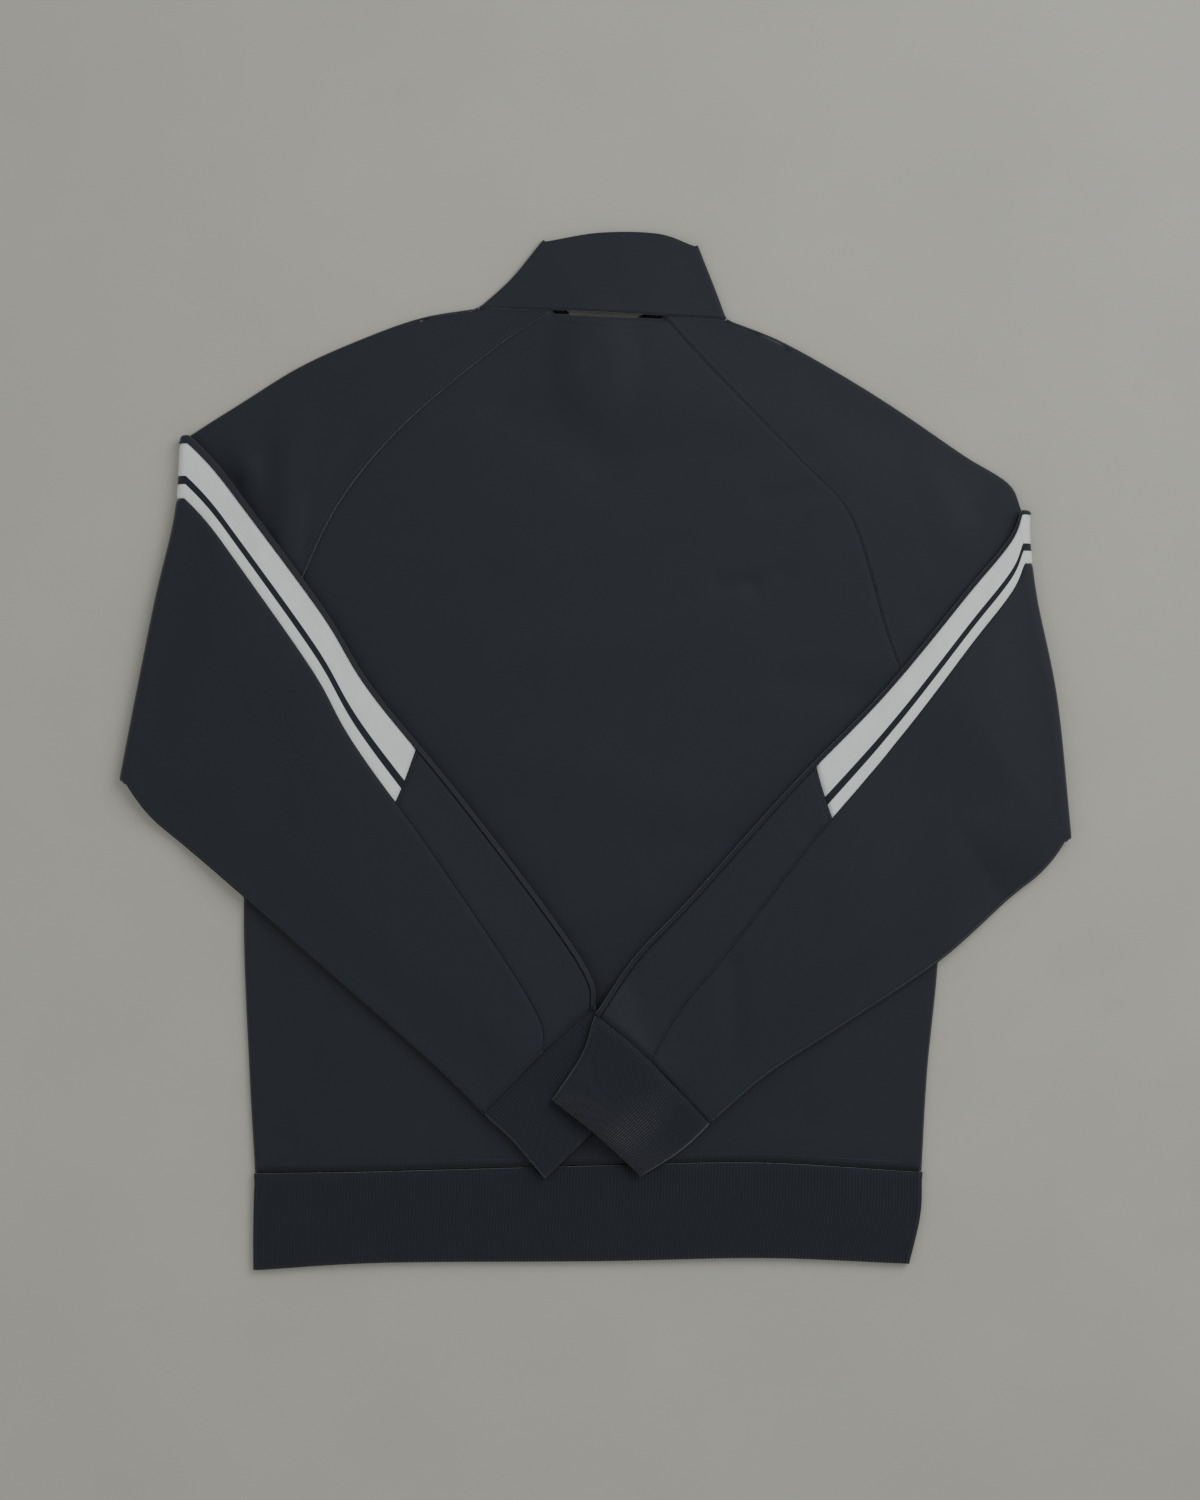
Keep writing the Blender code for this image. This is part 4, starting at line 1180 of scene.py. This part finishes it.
@dataclass
class Trim:
    """The hem band and the stand collar."""

    shop: Workshop

    def hem(self) -> None:
        """The ribbed hem band, open at the centre front."""
        left, out_left = drawn_in(HEM_SIDE["left"], RIB_ROWS, -1)
        right, out_right = drawn_in(HEM_SIDE["right"], RIB_ROWS, 1)
        seam = fitted(curve(HEM_SEAM, BACK_COLUMNS), left[0], right[0])
        bottom = fitted(curve(HEM_BOTTOM, BACK_COLUMNS), left[-1], right[-1])
        plan = coons(seam, bottom, left, right)
        tube = Tube(
            lifted(plan, floor_height(plan)), lifted(plan, back_height(plan)),
            with_height(out_left), with_height(out_right),
        )
        front_width, back_width = tube.width(tube.front), tube.width(tube.back)
        centres = [np.interp(0.0, row[:, 0], lengths(row)) for row in tube.front]
        middle = QUARTER + np.array(centres)
        counts = [
            RIB_SAMPLES * round(float(width[0]) / RIB_PITCH)
            for width in (middle - FRONT_EDGE, back_width, front_width - middle - FRONT_EDGE)
        ]
        columns = spaced(middle - FRONT_EDGE, 0 * middle, counts[0])
        columns += spaced(0 * middle - 1e-6, -back_width, counts[1])[1:]
        columns += spaced(front_width, middle + FRONT_EDGE, counts[2])[1:]
        grid = tube.grid(columns)
        grid[..., 2] += (RIB_WALL - WALL) / 2 + RIB_DEPTH
        grid = trimmed(grid, (SEAM_GAP, 0, 0, 0))
        self.shop.cloth("hem_band_cloth", grid, RIB_WALL, RIB, "rib", "hem_band", Held.FOLDED,
                        dips="r", ribs=RIB_DEPTH)

    def collar(self) -> None:
        """The stand collar, its back above and its two front ends below."""
        left, left_out = drawn_in(COLLAR_SIDE["left"], COLLAR_ROWS, 1)
        right, right_out = drawn_in(COLLAR_SIDE["right"], COLLAR_ROWS, -1)
        seam = chain(
            curve(LEFT.neck_back, NECK_COLUMNS), curve(NECK_BACK, BACK_COLUMNS),
            curve(RIGHT.neck_back, NECK_COLUMNS)[::-1],
        )
        seam[0], seam[-1] = left[0], right[0]
        top = fitted(curve(COLLAR_TOP, len(seam) - 1), left[-1], right[-1])
        plan = coons(seam, top, left, right)
        back = lifted(plan, back_height(plan))
        fronts = {}
        for side, fold in ((LEFT, left), (RIGHT, right)):
            neck = NECK_FRONT[side.name]
            low = chain(curve(side.neck_front, NECK_COLUMNS), curve(neck, FRONT_COLUMNS))
            low[0] = fold[0]
            high = curve(COLLAR_FRONT_TOP[side.name], len(low) - 1)
            high[0] = fold[-1]
            centre = np.linspace(low[-1], high[-1], COLLAR_ROWS + 1)
            flat = coons(low, high, fold, centre)
            fronts[side.name] = lifted(flat, floor_height(flat))
        turns = [
            self._turned(fronts["left"][:, 0], back[:, 0], left_out),
            self._turned(back[:, -1], fronts["right"][:, 0], right_out),
        ]
        grid = np.concatenate(
            [fronts["left"][:, ::-1], turns[0], back, turns[1], fronts["right"]], axis=1
        )
        grid = trimmed(grid, (SEAM_GAP, 0, 0, 0))
        self.shop.cloth("collar_cloth", grid, WALL, KNIT, "knit", "collar", Held.FOLDED, dips="r")

    @staticmethod
    def _turned(start: Grid, end: Grid, out: Grid) -> Grid:
        """Columns of a half round between two edges that lie over each other."""
        middle, half = (start + end) / 2, (start - end) / 2
        size = np.linalg.norm(half, axis=1)[:, None]
        count = 2 * ROUND_COLUMNS
        turned = [
            middle + half * math.cos(math.pi * step / count)
            + with_height(out) * size * math.sin(math.pi * step / count)
            for step in range(1, count)
        ]
        return np.stack(turned, axis=1)


@dataclass
class Zip:
    """The closed zip's carried-over pieces."""

    shop: Workshop
    frame: dict

    def dress(self) -> None:
        """Give the zip's solids their finishes."""
        for node, finish in (
            ("zip_tape_left", KNIT), ("zip_tape_right", KNIT),
            ("zip_teeth", HARD), ("zip_slider", HARD),
        ):
            solid = self.frame["nodes"][node]
            solid.data.materials.clear()
            solid.data.materials.append(self.shop.finish(finish))
            LOG.info("%s dressed", node)


class Lamp(NamedTuple):
    """A square soft lamp: its place and size in metres, its power in watts."""

    name: str
    place: tuple
    size: float
    power: float


@dataclass
class Studio:
    """Floor, light and camera; drop keeps the floor just clear of the cloth."""

    eye: tuple = (0.0031, 0.0006, 2.01)
    lens: float = 68.6
    lamps: tuple = (
        Lamp("key", (1.1, 0.9, 1.5), 1.3, 26.0), Lamp("fill", (-1.2, -0.4, 1.9), 1.8, 7.0)
    )
    room_colour: tuple = (1.0, 0.99, 0.96, 1)
    room_light: float = 0.55
    floor_colour: tuple = (0.36, 0.36, 0.325)
    floor_spread: tuple = (0.93, 1.07)
    drop: float = 0.0004

    def build(self) -> None:
        """Set the stage."""
        self._floor()
        for lamp in self.lamps:
            self._lamp(lamp)
        world = bpy.data.worlds.new("soft_room")
        world.use_nodes = True
        room = world.node_tree.nodes["Background"]
        room.inputs["Color"].default_value = self.room_colour
        room.inputs["Strength"].default_value = self.room_light
        bpy.context.scene.world = world
        camera = bpy.data.cameras.new("camera")
        camera.lens = self.lens
        holder = placed("camera", camera)
        holder.location = self.eye
        bpy.context.scene.camera = holder

    def _floor(self) -> None:
        """A plain pale floor."""
        bm = bmesh.new()
        bmesh.ops.create_grid(bm, x_segments=1, y_segments=1, size=3)
        mesh = bpy.data.meshes.new("floor")
        bm.to_mesh(mesh)
        bm.free()
        made = bpy.data.materials.new("floor")
        made.use_nodes = True
        shader = made.node_tree.nodes["Principled BSDF"]
        shader.inputs["Roughness"].default_value = 0.9
        place = made.node_tree.nodes.new("ShaderNodeTexCoord")
        colour = mottled(
            made.node_tree, place.outputs["Object"], self.floor_colour, self.floor_spread, 9, 8
        )
        made.node_tree.links.new(colour, shader.inputs["Base Color"])
        mesh.materials.append(made)
        floor = placed("floor", mesh)
        floor.location = (0, 0, -self.drop)

    @staticmethod
    def _lamp(lamp: Lamp) -> None:
        """Hang a lamp and aim it at the jacket."""
        light = bpy.data.lights.new(lamp.name, "AREA")
        light.size = lamp.size
        light.energy = lamp.power
        holder = placed(lamp.name, light)
        holder.location = lamp.place
        holder.rotation_euler = (-Vector(lamp.place)).to_track_quat("-Z", "Y").to_euler()


def main() -> None:
    """Build the jacket around its frame."""
    logging.basicConfig(level=logging.INFO)
    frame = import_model()
    shop = Workshop()
    Studio().build()
    Body(shop).build()
    for side in (LEFT, RIGHT):
        Sleeve(side, shop).build()
    trim = Trim(shop)
    trim.hem()
    trim.collar()
    Zip(shop, frame).dress()


if __name__ == "__main__":
    main()
